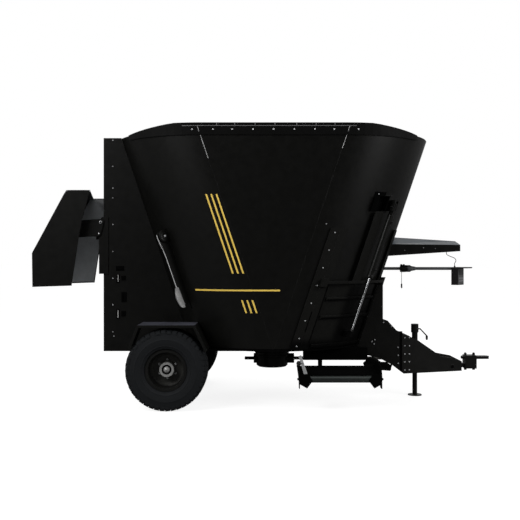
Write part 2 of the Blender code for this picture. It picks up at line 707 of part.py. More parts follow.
def make_frame():
    def wall_x(z):
        return wall_face(1, z, rail_out - rail_plate)

    under = floor_z - seat
    post_top = 1.385  # the gusset that runs up the tub's front
    post_x = wall_x(post_top) + 0.054
    split = bar_split_x
    lip_x = tub_x + math.sqrt((tub_radius + floor_lip) ** 2 - (rail_out - rail_plate) ** 2) + 0.001
    rail = [
        (rail_back, rail_foot),
        (split - 0.635, rail_foot),
        (split - 0.281, 0.478),
        (split - 0.122, 0.393),
        (split, 0.300),
        (split, 0.790),
        (split - 0.058, 0.790),
        (split - 0.173, 0.915),
        (post_x, 0.935),
        (post_x, post_top),
        (wall_x(post_top), post_top),
        (wall_x(0.70), 0.70),
        (lip_x, 0.68),
        (lip_x, under),
        (rail_back, under),
    ]
    for name, side in (("rail_right", -1), ("rail_left", 1)):
        outer = max(side * rail_out, side * (rail_out - rail_plate))
        ys = sorted((side * (rail_out - 0.05), side * (rail_out - 0.004)))
        flange = slab(rail_back, split - 0.635, *ys, rail_foot, rail_foot + 0.008)
        part(name, prism(rail, upright(outer), rail_plate), "black_paint", join=[flange])

    bar = [
        (split - 0.185, 0.76),
        (split, 0.76),
        (split + 0.107 * bar_length, 0.728),
        (split + 0.259 * bar_length, 0.678),
        (split + 0.642 * bar_length, 0.479),
        (split + 0.901 * bar_length, 0.446),
        (bar_end_x, 0.408),
        (bar_end_x, 0.292),
        (split + 0.026 * bar_length, 0.287),
        (split, 0.302),
        (split - 0.105, 0.42),
        (split - 0.185, 0.46),
    ]
    cross = bar_end_x - 0.053
    jack_back = jack_x + jack_tube + seat
    web_x = split + 0.488 * bar_length

    def bar_inside(x):
        return rail_out - 2 * rail_plate - bar_taper * (x - split) + 0.006

    plates = []
    for side in (-1, 1):
        start = rail_out - rail_plate - seat
        bm = bmesh.new()
        face = bm.faces.new([bm.verts.new((x, side * start, z)) for x, z in bar])
        bend = [v for v in face.verts if abs(v.co.x - bar_split_x) < 1e-6]
        bmesh.utils.face_split(face, *bend)
        for vert in bm.verts:
            vert.co.y -= side * bar_taper * max(0.0, vert.co.x - bar_split_x)
        pushed = bmesh.ops.extrude_face_region(bm, geom=bm.faces[:])["geom"]
        moved = [item for item in pushed if isinstance(item, bmesh.types.BMVert)]
        bmesh.ops.translate(bm, verts=moved, vec=(0, -side * rail_plate, 0))
        plates.append(mesh_object(bm))
    joins = [
        plates[1],
        slab(jack_back, jack_back + 0.04, -bar_inside(jack_back + 0.04), bar_inside(jack_back + 0.04), 0.50, 0.60),
        slab(web_x, web_x + 0.02, -bar_inside(web_x + 0.02), bar_inside(web_x + 0.02), 0.33, 0.53),
        slab(cross, bar_end_x, -bar_inside(bar_end_x), bar_inside(bar_end_x), 0.30, 0.40),
    ]
    hole = rod((web_x - 0.05, 0, shaft_z), (web_x + 0.05, 0, shaft_z), shaft_radius + 0.0005)
    part("drawbar_frame", plates[0], "black_paint", join=joins, cut=[hole])

    block_x0, block_x1 = bar_end_x + 0.059, bar_end_x + 0.200
    block_foot, block_top = 0.309, 0.468
    block = slab(block_x0, block_x1, -0.065, 0.065, block_foot, block_top)
    joins = [slab(bar_end_x + seat, block_x0 + 0.008, -0.04, 0.04, block_foot + 0.013, block_foot + 0.061)]
    for x in (block_x0 + 0.018, block_x1 - 0.021):
        joins.append(rod((x, 0, block_foot - 0.016), (x, 0, block_top + 0.030), 0.012, 12))
    tongue_foot, tongue_thick, tongue_half = 0.4245, 0.033, 0.05
    shank_foot, shank_top = tongue_foot + 0.001, tongue_foot + tongue_thick - 0.001
    slot_half = tongue_half + seat
    slot = slab(block_x0 - 0.1, block_x1 + 0.1, -slot_half, slot_half, shank_foot - seat, shank_top + seat)
    part("hitch_block", block, "black_paint", join=joins, cut=[slot])
    ends = [math.radians(-90 + 15 * i) for i in range(13)]
    eye_x = half_length - tongue_half
    nose = [(eye_x + tongue_half * math.cos(a), tongue_half * math.sin(a)) for a in ends]
    nose += [(block_x1 + seat, tongue_half), (block_x1 + seat, -tongue_half)]
    tongue = prism(nose, Matrix.Translation((0, 0, tongue_foot)), tongue_thick)
    tail_x = block_x0 + 0.013
    tail = [(tail_x - tongue_half * math.cos(a), -tongue_half * math.sin(a)) for a in ends]
    tail += [(block_x1 + 0.02, -tongue_half + seat), (block_x1 + 0.02, tongue_half - seat)]
    shank = prism(tail, Matrix.Translation((0, 0, shank_foot)), shank_top - shank_foot)
    hole = rod((eye_x - 0.0075, 0, 0.3), (eye_x - 0.0075, 0, 0.6), 0.017, 24)
    part("hitch_tongue", tongue, "black_paint", join=[shank], cut=[hole])


def make_jack():
    body = rod((jack_x, jack_y, 0.28), (jack_x, jack_y, 0.80), jack_tube, 20)
    head = rod((jack_x, jack_y, 0.76), (jack_x, jack_y, 0.86), 0.045, 20)
    foot = slab(jack_x + 0.015, jack_x + jack_tube, jack_y - 0.04, jack_y + 0.04, 0.50, 0.60)
    bore = rod((jack_x, jack_y, 0.2), (jack_x, jack_y, 0.70), jack_leg + 0.0005, 20)
    part("jack_body", body, "black_paint", join=[head, foot], cut=[bore])
    slide = pivot_at("jack_slide", (jack_x, jack_y, 0))
    leg = rod((jack_x, jack_y, 0.004), (jack_x, jack_y, 0.40), jack_leg, 20)
    sole = rod((jack_x, jack_y, 0), (jack_x, jack_y, 0.012), 0.0825, 28)
    part("jack_leg", leg, "black_paint", join=[sole], pivot=slide)
    start = jack_x + 0.045 + seat
    points = [(start, 0.80), (start + 0.02, 0.80), (start + 0.10, 0.715)]
    wire("jack_crank", [(x, jack_y, z) for x, z in points], 0.008, "black_paint")


def make_drive():
    profile = [
        (0.0, 0.335),
        (0.17, 0.335),
        (0.19, 0.35),
        (0.195, 0.45),
        (0.205, 0.46),
        (0.205, 0.58),
        (0.24, 0.60),
        (0.24, floor_z - seat),
        (0.1497, floor_z - seat),
        (0.1497, 0.66),
        (0.0, 0.66),
    ]
    box = turned(profile, Matrix.Translation((tub_x, 0, 0)), 24)
    neck_x = tub_x + 0.27
    neck = rod((tub_x, 0, shaft_z), (neck_x, 0, shaft_z), 0.06, 20)
    stub = rod((tub_x, 0, shaft_z), (tub_x - 0.335, 0, shaft_z), shaft_radius)
    lid = rod((tub_x, 0, shaft_z), (tub_x - 0.225, 0, shaft_z), 0.06, 20)
    part("gearbox", box, "black_paint", join=[neck, stub, lid])
    part("input_shaft", rod((neck_x + seat, 0, shaft_z), (shaft_end_x, 0, shaft_z), shaft_radius), "worn_steel")


# Auger
auger_foot = 0.66 + seat
flight_low, flight_high = 0.68, 2.20
flight_turns = 2.25
flight_steps = 60
flight_thick = 0.015
flight_root = 0.12
flight_wide, flight_narrow = 0.90, 0.40
knife_places = (0.07, 0.24, 0.42, 0.60, 0.78)  # share of the flight's length


def flight_at(share):
    """Angle, height and outer radius of the flight, share of the way up it."""
    radius = flight_wide + (flight_narrow - flight_wide) * max(0.0, (share - 0.12) / 0.88) ** 0.8
    return math.tau * flight_turns * share, flight_low + (flight_high - flight_low) * share, radius


def make_auger():
    profile = [
        (0.0, auger_foot),
        (0.14, auger_foot),
        (0.14, 0.668),
        (0.22, 0.668),
        (0.22, 0.70),
        (0.19, 0.72),
        (0.15, 2.33),
        (0.10, 2.37),
        (0.0, 2.37),
    ]
    core = turned(profile, Matrix.Translation((tub_x, 0, 0)), 32)
    bm = bmesh.new()
    edges = []
    for i in range(flight_steps + 1):
        angle, z, radius = flight_at(i / flight_steps)
        way = Vector((math.cos(angle), math.sin(angle), 0))
        edges.append([bm.verts.new(Vector((tub_x, 0, z)) + way * r) for r in (flight_root, radius)])
    for (near, far), (next_near, next_far) in zip(edges, edges[1:]):
        bm.faces.new((near, far, next_far))
        bm.faces.new((near, next_far, next_near))
    flight = mesh_object(bm)
    plate = flight.modifiers.new("plate", "SOLIDIFY")
    plate.thickness = flight_thick
    plate.offset = 0
    joins = [flight]
    for share in knife_places:
        angle, z, radius = flight_at(share)
        out = Vector((math.cos(angle), math.sin(angle), 0))
        rise = (flight_high - flight_low) / (math.tau * flight_turns * radius)
        ahead = Vector((-math.sin(angle), math.cos(angle), rise)).normalized()
        place = Matrix((out, ahead, out.cross(ahead))).transposed().to_4x4()
        place.translation = Vector((tub_x, 0, z + flight_thick / 2 - 0.003)) + out * radius
        knife = [(-0.12, -0.06), (0.02, -0.14), (0.05, -0.11), (0.045, -0.07), (0.075, -0.05)]
        knife += [(0.07, -0.01), (0.09, 0.02), (0.075, 0.06), (0.08, 0.10), (-0.03, 0.14), (-0.12, 0.08)]
        joins.append(prism(knife, place, 0.010))
    turn = pivot_at("auger_axis", (tub_x, 0, auger_foot))
    part("auger", core, "worn_steel", join=joins, pivot=turn)


def make_tray():
    beam = slab(beam_x0, beam_x1, -0.69, -0.61, beam_foot, floor_z - seat)
    rail_side = rail_out + seat
    joins = [slab(x, x + 0.06, -0.615, -rail_side, rail_foot, floor_z - seat) for x in (0.46, 0.98)]
    joins.append(slab(0.565, 0.612, -0.69, -0.65, 0.42, beam_foot + 0.01))
    joins.append(slab(tray_x0 + tray_lug + 0.004, tray_x1 - tray_lug - 0.004, -0.69, -0.66, 0.408, 0.428))
    for low, pin in ((tray_x0 + tray_lug, tray_x0 - 0.005), (tray_x1 - tray_lug - 0.008, tray_x1 + 0.005)):
        joins.append(slab(low, low + 0.008, -0.735, -0.66, 0.41, 0.45))
        joins.append(rod((pin, tray_pin_y, tray_pin_z), (low + 0.004, tray_pin_y, tray_pin_z), 0.010, 12))
    brace_end = bar_split_x - 0.185
    brace = [(beam_x1 - 0.02, 0.53), (brace_end, 0.42), (brace_end, 0.375), (beam_x1 - 0.02, 0.497)]
    joins.append(prism(brace, upright(-0.62), 0.045))
    joins.append(slab(brace_end - 0.07, brace_end, -0.64, -rail_side, 0.405, 0.43))
    part("tray_support", beam, "black_paint", join=joins)

    hinge = pivot_at("tray_hinge", (tray_x0, tray_pin_y, tray_pin_z))
    guard_y = roller_y - roller_radius - run  # the plates that shield the roller's ends
    side = [
        (-0.685, 0.405),
        (-0.685, 0.455),
        (-0.80, 0.50),
        (-1.13, 0.49),
        (guard_y - 0.003, 0.40),
        (guard_y - 0.003, 0.25),
        (-1.10, 0.25),
        (-1.05, 0.33),
    ]
    plates = [prism(side, across(x), tray_plate) for x in (tray_x0, tray_x1 - tray_plate)]
    sheet = prism(
        [(-0.76, 0.44), (-1.11, 0.392), (-1.11, 0.386), (-0.76, 0.434)],
        across(tray_x0 + 0.004),
        tray_x1 - tray_x0 - 0.008,
    )
    holes = [rod((0.2, tray_pin_y, tray_pin_z), (1.3, tray_pin_y, tray_pin_z), 0.0105, 12)]
    holes.append(rod((0.2, roller_y, roller_z), (1.3, roller_y, roller_z), 0.0128, 12))
    guard = [(0.004, 0.41), (0.10, 0.41), (0.145, 0.335), (0.085, 0.255), (0.004, 0.30)]
    for start, way in ((tray_x0, 1), (tray_x1, -1)):
        outline = [(start + way * x, z) for x, z in guard]
        plates.append(prism(outline, upright(guard_y), 0.006))
    part("tray", plates[0], "black_paint", join=[*plates[1:], sheet], cut=holes, pivot=hinge)
    turn = pivot_at("roller_axis", (tray_x0, roller_y, roller_z))
    first, last = tray_x0 + tray_plate + run, tray_x1 - tray_plate - run
    drum = rod((first, roller_y, roller_z), (last, roller_y, roller_z), roller_radius, 24)
    journal = rod((tray_x0 + 0.001, roller_y, roller_z), (tray_x1 - 0.001, roller_y, roller_z), 0.012, 12)
    part("tray_roller", drum, "bright_steel", join=[journal], pivot=turn)


def make_front():
    def section(x, foot, shoulder, ridge, half):
        return [(x, -half, foot), (x, -half, shoulder), (x, 0, ridge), (x, half, shoulder), (x, half, foot)]

    back, tip = wall_face(1, arm_z) - 0.0246, canopy_end
    outer = loft([section(back, 1.6755, 1.821, 1.9187, 0.25), section(tip, 1.736, 1.812, 1.8619, 0.25)])
    inner = loft([section(back - 0.18, 1.5, 1.817, 1.927, 0.246), section(tip + 0.105, 1.5, 1.808, 1.8515, 0.246)])
    bar = slab(gland_x - 0.01, gland_x + 0.01, -0.248, 0.248, 1.742, 1.754)
    gland = rod((gland_x, 0, 1.728), (gland_x, 0, 1.75), 0.010, 12)
    shell = part("canopy_sheet", outer, "black_paint", cut=[inner])
    shell.hide_render = True
    shell.display_type = "WIRE"
    part("front_canopy", bar, "black_paint", join=[gland, shell], cut=[tub_body(1, tub_radius + seat)])

    def box_piece(x0, x1, half, z0, z1):
        obj = slab(x0, x1, -half, half, z0, z1)
        obj.data.transform(Matrix.Translation((indicator_x, 0, 0)) @ Matrix.Rotation(math.radians(-35), 4, "Z"))
        return obj

    arm = rod((back, 0, arm_z), (indicator_x - 0.025, 0, arm_z), arm_radius)
    clamp = rod((clamp_x, 0, arm_z), (clamp_x + 0.119, 0, arm_z), 0.042, 20)
    base = strip(1, -4, 4, tub_radius - 0.01, tub_radius + 0.010, 1.44, 1.61)
    room = box_piece(-0.041 - seat, 0.2, 0.10 + seat, 1.327 - seat, 1.545 + seat)
    part("indicator_arm", arm, "grey_zinc", join=[clamp, base], cut=[tub_body(1, tub_radius + seat), room])
    visor = box_piece(-0.035, 0.15, 0.095, 1.530, 1.545)
    socket_x = indicator_x - 0.035
    socket = rod((socket_x, 0, 1.54), (socket_x, 0, 1.56), 0.010, 12)
    part("indicator_box", box_piece(-0.041, 0.041, 0.10, 1.327, 1.538), "grey_plastic", join=[visor, socket])

    route = [(0.0, 1.728 - seat), (0.0, 1.714), (0.010, 1.694), (0.055, 1.672), (0.102, 1.652)]
    route += [(0.116, 1.620), (0.101, 1.595), (0.100, 1.580), (0.100, 1.56 + seat)]
    places = [Vector((gland_x + x, 0, z)) for x, z in route]
    wire("indicator_cable", smooth_route(places, 24), 0.004, "black_rubber")
    cord_top, handle_foot = arm_z - 0.0423, 1.286
    cord = [(lanyard_x, 0, cord_top), (lanyard_x, 0, 1.42), (lanyard_x, 0, 1.3425)]
    wire("lanyard", cord, 0.003, "black_rubber")
    part("lanyard_handle", rod((lanyard_x, 0, handle_foot), (lanyard_x, 0, 1.3422), 0.009, 12), "black_rubber")


def main():
    clear_scene()
    make_tub()
    make_side_door()
    make_rear_door()
    make_hood()
    make_restrictors()
    make_wheels()
    make_frame()
    make_jack()
    make_drive()
    make_auger()
    make_tray()
    make_front()


main()
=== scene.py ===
"""Looks of a trailed vertical feed mixer wagon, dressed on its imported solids.

Metres, +X forward to the hitch, +Y to the machine's left, +Z up from the ground.
"""

import math

import bmesh
import bpy
from mathutils import Matrix, Vector
from mathutils.bvhtree import BVHTree


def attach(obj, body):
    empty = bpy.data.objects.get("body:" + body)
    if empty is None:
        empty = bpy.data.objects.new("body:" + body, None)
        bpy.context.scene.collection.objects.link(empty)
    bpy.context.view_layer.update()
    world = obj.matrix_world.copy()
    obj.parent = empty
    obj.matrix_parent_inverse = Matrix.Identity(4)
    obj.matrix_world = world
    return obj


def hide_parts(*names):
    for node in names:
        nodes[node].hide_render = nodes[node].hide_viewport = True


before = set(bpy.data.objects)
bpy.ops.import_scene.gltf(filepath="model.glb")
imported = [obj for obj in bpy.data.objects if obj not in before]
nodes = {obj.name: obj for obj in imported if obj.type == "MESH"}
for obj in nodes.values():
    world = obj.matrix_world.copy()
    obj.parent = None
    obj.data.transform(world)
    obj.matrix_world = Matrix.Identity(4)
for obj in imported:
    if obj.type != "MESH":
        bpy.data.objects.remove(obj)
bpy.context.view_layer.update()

# Camera: level, square to the machine's right side, a little behind its middle,
# as the photograph was taken.
camera_data = bpy.data.cameras.new("camera")
camera_data.sensor_width = 36.0
camera_data.lens = 53.5
camera_data.clip_end = 200.0
scene = bpy.context.scene


def add_object(name, data):
    obj = bpy.data.objects.new(name, data)
    scene.collection.objects.link(obj)
    return obj


camera = add_object("camera", camera_data)
camera.location = (-0.095, -9.47, 1.631)
camera.rotation_euler = (math.radians(90), 0, 0)
scene.camera = camera

# Tub: two half-round ends of rolled sheet lean out from the floor, welded to flat
# side panels, all sprayed satin black. The long seams are bright steel at the top, a
# painted highlight where they catch the light, and black below.
tub_x = 0.0525
tub_radius = 1.05
tub_wall = 0.010
tub_flat_half = 0.8157
floor_z, rim_z = 0.634, 3.045
wall_foot = 0.6503
lean = tub_flat_half / (rim_z - floor_z)
slant_cos = 1 / math.hypot(1, lean)


def shader_group(name, inputs, outputs):
    """An empty node group with float inputs and its named outputs."""
    group = bpy.data.node_groups.new(name, "ShaderNodeTree")
    for label, value in inputs:
        socket = group.interface.new_socket(label, in_out="INPUT", socket_type="NodeSocketFloat")
        socket.default_value = value
    for label, kind in outputs:
        group.interface.new_socket(label, in_out="OUTPUT", socket_type=kind)
    return group, group.nodes.new("NodeGroupInput"), group.nodes.new("NodeGroupOutput")


def node(tree, kind, values=(), **settings):
    """A node with its settings and its inputs, each a value or another node's output."""
    made = tree.nodes.new(kind)
    for label, value in settings.items():
        setattr(made, label, value)
    for label, value in dict(values).items():
        if isinstance(value, bpy.types.NodeSocket):
            tree.links.new(value, made.inputs[label])
        else:
            made.inputs[label].default_value = value
    return made


def maths(tree, operation, first, second=0.0, clamp=False):
    made = node(tree, "ShaderNodeMath", {0: first, 1: second}, operation=operation, use_clamp=clamp)
    return made.outputs[0]


def times(tree, first, second, clamp=False):
    return maths(tree, "MULTIPLY", first, second, clamp)


def ramp(tree, value, low, high):
    """Value taken from low..high to 0..1."""
    values = {"Value": value, "From Min": low, "From Max": high}
    return node(tree, "ShaderNodeMapRange", values, interpolation_type="SMOOTHSTEP").outputs["Result"]


def noise(tree, where, scale, detail=3.0, rough=0.55):
    values = {"Vector": where, "Scale": scale, "Detail": detail, "Roughness": rough}
    return node(tree, "ShaderNodeTexNoise", values).outputs["Fac"]


def object_place(tree):
    """Places in the object's own space, which is the whole machine's at rest."""
    return node(tree, "ShaderNodeTexCoord").outputs["Object"]


def edge_wear_group():
    """Chips along a piece's edges, and the normal of edges rounded by that width."""
    outputs = [("Mask", "NodeSocketFloat"), ("Normal", "NodeSocketVector")]
    group, given, result = shader_group("edge_wear", [("Width", 0.004), ("Amount", 0.5)], outputs)
    where = object_place(group)
    round_edge = node(group, "ShaderNodeBevel", {"Radius": given.outputs["Width"]}, samples=6)
    flat = node(group, "ShaderNodeNewGeometry").outputs["Normal"]
    normals = {0: round_edge.outputs[0], 1: flat}
    turn = node(group, "ShaderNodeVectorMath", normals, operation="DOT_PRODUCT")
    edge = ramp(group, maths(group, "SUBTRACT", 1.0, turn.outputs["Value"]), 0.02, 0.20)
    chips = ramp(group, noise(group, where, 38.0, 6.0, 0.7), 0.48, 0.60)
    mask = times(group, times(group, edge, chips), given.outputs["Amount"], True)
    group.links.new(mask, result.inputs["Mask"])
    group.links.new(round_edge.outputs[0], result.inputs["Normal"])
    return group


def dust_and_top_light_group():
    """Dust thrown up near the ground and settled on faces that look up; on the fender and canopy the faces that
    look up carry painted sky light instead.
    """
    group, given, result = shader_group(
        "dust_and_top_light", [("Foot", 0.3), ("Top", 1.4), ("Lying", 0.5)], [("Mask", "NodeSocketFloat")]
    )
    where = object_place(group)
    height = node(group, "ShaderNodeSeparateXYZ", {0: where}).outputs["Z"]
    low = node(group, "ShaderNodeMapRange", {"Value": height, "From Min": given.outputs["Top"]})
    group.links.new(given.outputs["Foot"], low.inputs["From Max"])
    cloud = ramp(group, noise(group, where, 5.0, 5.0, 0.6), 0.30, 0.75)
    fine = ramp(group, noise(group, where, 90.0, 4.0, 0.7), 0.25, 0.80)
    thrown = times(group, times(group, low.outputs["Result"], cloud), fine)
    facing = node(group, "ShaderNodeSeparateXYZ", {0: node(group, "ShaderNodeNewGeometry").outputs["Normal"]})
    up = times(group, ramp(group, facing.outputs["Z"], 0.5, 1.0), given.outputs["Lying"])
    lying = times(group, up, maths(group, "ADD", times(group, cloud, 0.5), 0.5))
    group.links.new(maths(group, "MAXIMUM", thrown, lying), result.inputs["Mask"])
    return group


def surface_group():
    """Slight waviness of rolled sheet under the fine peel of sprayed paint."""
    outputs = [("Height", "NodeSocketFloat"), ("Cloud", "NodeSocketFloat")]
    group, given, result = shader_group("paint_surface", [("Peel", 0.2), ("Wave", 0.8)], outputs)
    where = object_place(group)
    peel = times(group, noise(group, where, 420.0, 2.0), given.outputs["Peel"])
    wave = times(group, noise(group, where, 2.2, 2.0), given.outputs["Wave"])
    group.links.new(maths(group, "ADD", peel, wave), result.inputs["Height"])
    group.links.new(noise(group, where, 14.0, 5.0, 0.65), result.inputs["Cloud"])
    return group


edge_wear = edge_wear_group()
dust_and_top_light = dust_and_top_light_group()
paint_surface = surface_group()
dust_colour = (0.105, 0.092, 0.072, 1.0)


def finish(
    name, colour, under, roughness, metallic=0.0, specular=0.5, chips=0.5, edge=0.004, dust=0.12, lying=0.3,
    peel=0.2, wave=0.6, bump=0.0006, spread=0.10, cloud_colour=0.25, top_light=None,
):
    """A finish: its colour and what shows where it has chipped, linear, or one value for a grey.

    Top light is a colour painted on its upward faces alone, as painted sky light, with no dust thrown up.
    """
    material = bpy.data.materials.new(name)
    material.use_nodes = True
    tree = material.node_tree
    shader = tree.nodes["Principled BSDF"]
    wear = node(tree, "ShaderNodeGroup", {"Width": edge, "Amount": chips}, node_tree=edge_wear)
    below_ground = {"Foot": -2.0, "Top": -1.0} if top_light else {}
    dust_and_light = node(tree, "ShaderNodeGroup", {"Lying": lying, **below_ground}, node_tree=dust_and_top_light)
    skin = node(tree, "ShaderNodeGroup", {"Peel": peel, "Wave": wave}, node_tree=paint_surface)

    def blend(factor, first, second):
        return node(tree, "ShaderNodeMix", {0: factor, 6: first, 7: second}, data_type="RGBA").outputs[2]

    colour, under = (c if isinstance(c, tuple) else (c, c, c) for c in (colour, under))
    deep = tuple(c * (1.0 - cloud_colour) for c in colour)
    pale = tuple(c * (1.0 + cloud_colour) for c in colour)
    tone = blend(skin.outputs["Cloud"], (*deep, 1.0), (*pale, 1.0))
    chipped = blend(wear.outputs["Mask"], tone, (*under, 1.0))
    dust_and_light_amount = times(tree, dust_and_light.outputs["Mask"], dust)
    tree.links.new(blend(dust_and_light_amount, chipped, top_light or dust_colour), shader.inputs["Base Color"])
    clouds = times(tree, skin.outputs["Cloud"], 2 * spread)
    rough = maths(tree, "ADD", clouds, roughness - spread)
    rougher = maths(tree, "ADD", rough, times(tree, dust_and_light.outputs["Mask"], 0.25), True)
    tree.links.new(rougher, shader.inputs["Roughness"])
    height = {"Height": skin.outputs["Height"], "Strength": 1.0, "Distance": bump}
    relief = node(tree, "ShaderNodeBump", {**height, "Normal": wear.outputs["Normal"]})
    tree.links.new(relief.outputs["Normal"], shader.inputs["Normal"])
    shader.inputs["Metallic"].default_value = metallic
    shader.inputs["Specular IOR Level"].default_value = specular
    return material


black_paint = finish(
    "satin_black_paint", (0.0021, 0.0021, 0.0018), 0.03, 0.40, specular=0.11, chips=0.3, dust=0.01,
    lying=0.15
)
matt_black = finish("matt_black", 0.0008, 0.004, 0.8, specular=0.02, chips=0.2, dust=0.0, wave=0.0)


def wear_it(material, *names):
    """Gives CAD nodes their finish."""
    for name in names:
        slots = nodes[name].data.materials
        slots.clear()
        slots.append(material)


wear_it(black_paint, "tub_side_right", "tub_side_left")
wear_it(matt_black, "tub_floor")


def piece(name, bm, material, body="root", sharp=35):
    """Makes a mesh piece of a bmesh, which rides on a body; edges over the sharp angle stay hard."""
    bmesh.ops.recalc_face_normals(bm, faces=bm.faces)
    mesh = bpy.data.meshes.new(name)
    bm.to_mesh(mesh)
    bm.free()
    mesh.shade_smooth()
    mesh.set_sharp_from_angle(angle=math.radians(sharp))
    mesh.materials.append(material)
    obj = add_object(name, mesh)
    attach(obj, body)
    return obj


def wall_point(end, angle, radius, z):
    """Point on an end wall; the angle in degrees opens from the end to the right side."""
    a = math.radians(angle)
    shift = end * lean * (z - floor_z)
    return Vector((tub_x + shift + end * radius * math.cos(a), -radius * math.sin(a), z))


def add_wall(bm, end, holes):
    """Rolled sheet of an end wall, open where a hole (angles, heights) leaves it out."""
    angles = {float(a) for a in range(-90, 91, 2)}
    heights = {wall_foot + (rim_z - wall_foot) * i / 16 for i in range(17)}
    for first, last, low, high in holes:
        angles |= {first, last}
        heights |= {max(low, wall_foot), high}
    angles, heights = sorted(angles), sorted(heights)
    corners = {}

    def corner(i, j, skin):
        if (i, j, skin) not in corners:
            radius = tub_radius if skin else tub_radius - tub_wall
            corners[i, j, skin] = bm.verts.new(wall_point(end, angles[i], radius, heights[j]))
        return corners[i, j, skin]

    def solid(i, j):
        if not (0 <= i < len(angles) - 1 and 0 <= j < len(heights) - 1):
            return False
        a, z = (angles[i] + angles[i + 1]) / 2, (heights[j] + heights[j + 1]) / 2
        return not any(first < a < last and low < z < high for first, last, low, high in holes)

    for i in range(len(angles) - 1):
        for j in range(len(heights) - 1):
            if not solid(i, j):
                continue
            for skin in (0, 1):
                bm.faces.new([corner(i + u, j + v, skin) for u, v in ((0, 0), (1, 0), (1, 1), (0, 1))])
            for beyond, first, last in (
                ((i - 1, j), (i, j), (i, j + 1)),
                ((i + 1, j), (i + 1, j), (i + 1, j + 1)),
                ((i, j - 1), (i, j), (i + 1, j)),
                ((i, j + 1), (i, j + 1), (i + 1, j + 1)),
            ):
                if not solid(*beyond):
                    bm.faces.new((corner(*first, 0), corner(*last, 0), corner(*last, 1), corner(*first, 1)))


# The doors' openings, and the slots that run down from the restrictors' pivots.
pivot_angle, pivot_z = 43.0, 1.893
slot_turn = math.degrees(0.011 / tub_radius)
slot_heights = (pivot_z - 0.86 * slant_cos, pivot_z - 0.03 * slant_cos)
for name, end, door in (("front", 1, (28.0, 66.0, 0.0, 1.30)), ("rear", -1, (-24.5, 24.5, 0.0, 1.45))):
    bm = bmesh.new()
    middle = -end * pivot_angle
    add_wall(bm, end, [door, (middle - slot_turn, middle + slot_turn, *slot_heights)])
    skin = piece(f"tub_{name}_sheet", bm, black_paint, sharp=30)
    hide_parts(f"tub_{name}_wall")

# Bright steel for the seams' upper parts, standing in for a painted highlight.
seam_highlight = finish("painted_seam_highlight", 0.27, 0.4, 0.35, metallic=0.4, edge=0.002, dust=0.02, wave=0.0)


def bridge(bm, rings, closed=False):
    """Faces between successive rings of corners, and a cap over the first and the last."""
    pairs = list(zip(rings, rings[1:]))
    if closed:
        pairs.append((rings[-1], rings[0]))
    for near, far in pairs:
        for k in range(len(near)):
            bm.faces.new((near[k - 1], near[k], far[k], far[k - 1]))
    if not closed:
        bm.faces.new(rings[0][::-1])
        bm.faces.new(rings[-1])


def add_bar(bm, points, radius, flats=8):
    """A round bar or bead through the points, with one radius or a list of one for each."""
    points = [Vector(p) for p in points]
    rings = []
    side = None
    for i, point in enumerate(points):
        way = (points[min(i + 1, len(points) - 1)] - points[max(i - 1, 0)]).normalized()
        if side is None:
            side = way.orthogonal().normalized()
        side = (side - way * side.dot(way)).normalized()
        other = way.cross(side)
        r = radius[i] if isinstance(radius, list) else radius
        ring = []
        for k in range(flats):
            a = math.tau * k / flats
            ring.append(bm.verts.new(point + (side * math.cos(a) + other * math.sin(a)) * r))
        rings.append(ring)
    bridge(bm, rings)


# The seams' upper parts and their bends over the rim are a painted highlight in bright steel; their lower parts
# are black paint.
lit_seams, painted = bmesh.new(), bmesh.new()
for side in (-1, 1):
    for end, highlight_foot in ((-1, 2.74), (1, 2.85)):
        for bm, foot, top in ((painted, 0.66, highlight_foot), (lit_seams, highlight_foot, 3.035)):
            steps = round((top - foot) / 0.04)
            line = []
            for i in range(steps + 1):
                z = foot + (top - foot) * i / steps
                line.append((tub_x + end * lean * (z - floor_z), side * (tub_radius - 0.0012), z))
            thick = 0.0038 if bm is lit_seams else 0.0020
            swell = [thick + 0.12 * thick * math.sin(i * 2.1) for i in range(steps + 1)]
            add_bar(bm, line, swell, 6)
        foot, top = (tub_x + end * (tub_flat_half + extra) for extra in (-0.002, 0.016))
        start = tub_x + end * (tub_flat_half - 0.006)
        near, over = (side * (tub_radius + proud) for proud in (0.001, 0.0075))
        add_bar(lit_seams, [(start, near, 3.024), (foot, over, 3.034), (top, over, 3.0895)], 0.0032, 6)
piece("tub_seams_highlight", lit_seams, seam_highlight)
piece("tub_seams_painted", painted, black_paint)

bm = bmesh.new()
for end in (-1, 1):
    ring = [wall_point(end, a, tub_radius + 0.0005, 0.655) for a in range(-90, 91, 3)]
    add_bar(bm, ring, 0.0045, 6)
piece("tub_foot_weld", bm, matt_black)

# Stripes: plain yellow film, three slanted lines beside the rear seam, broken by a
# bare field, and one level line.
yellow_film = finish(
    "yellow_film", (0.62, 0.43, 0.075), (0.45, 0.30, 0.05), 0.40, specular=0.4, chips=0.1, edge=0.001,
    dust=0.03, lying=0.0, cloud_colour=0.04
)
film_out = tub_radius + 0.0006


def away(end, angle):
    """The level way out of an end wall; the angle in degrees opens to the right side."""
    a = math.radians(angle)
    return Vector((end * math.cos(a), -math.sin(a), 0))


def add_film(bm, corners):
    """A thin strip through pairs of edge points, each with its way out; its back lies behind it."""
    rings = []
    for low, high, out in corners:
        places = (low, high, high - out * 0.0004, low - out * 0.0004)
        rings.append([bm.verts.new(place) for place in places])
    bridge(bm, rings)


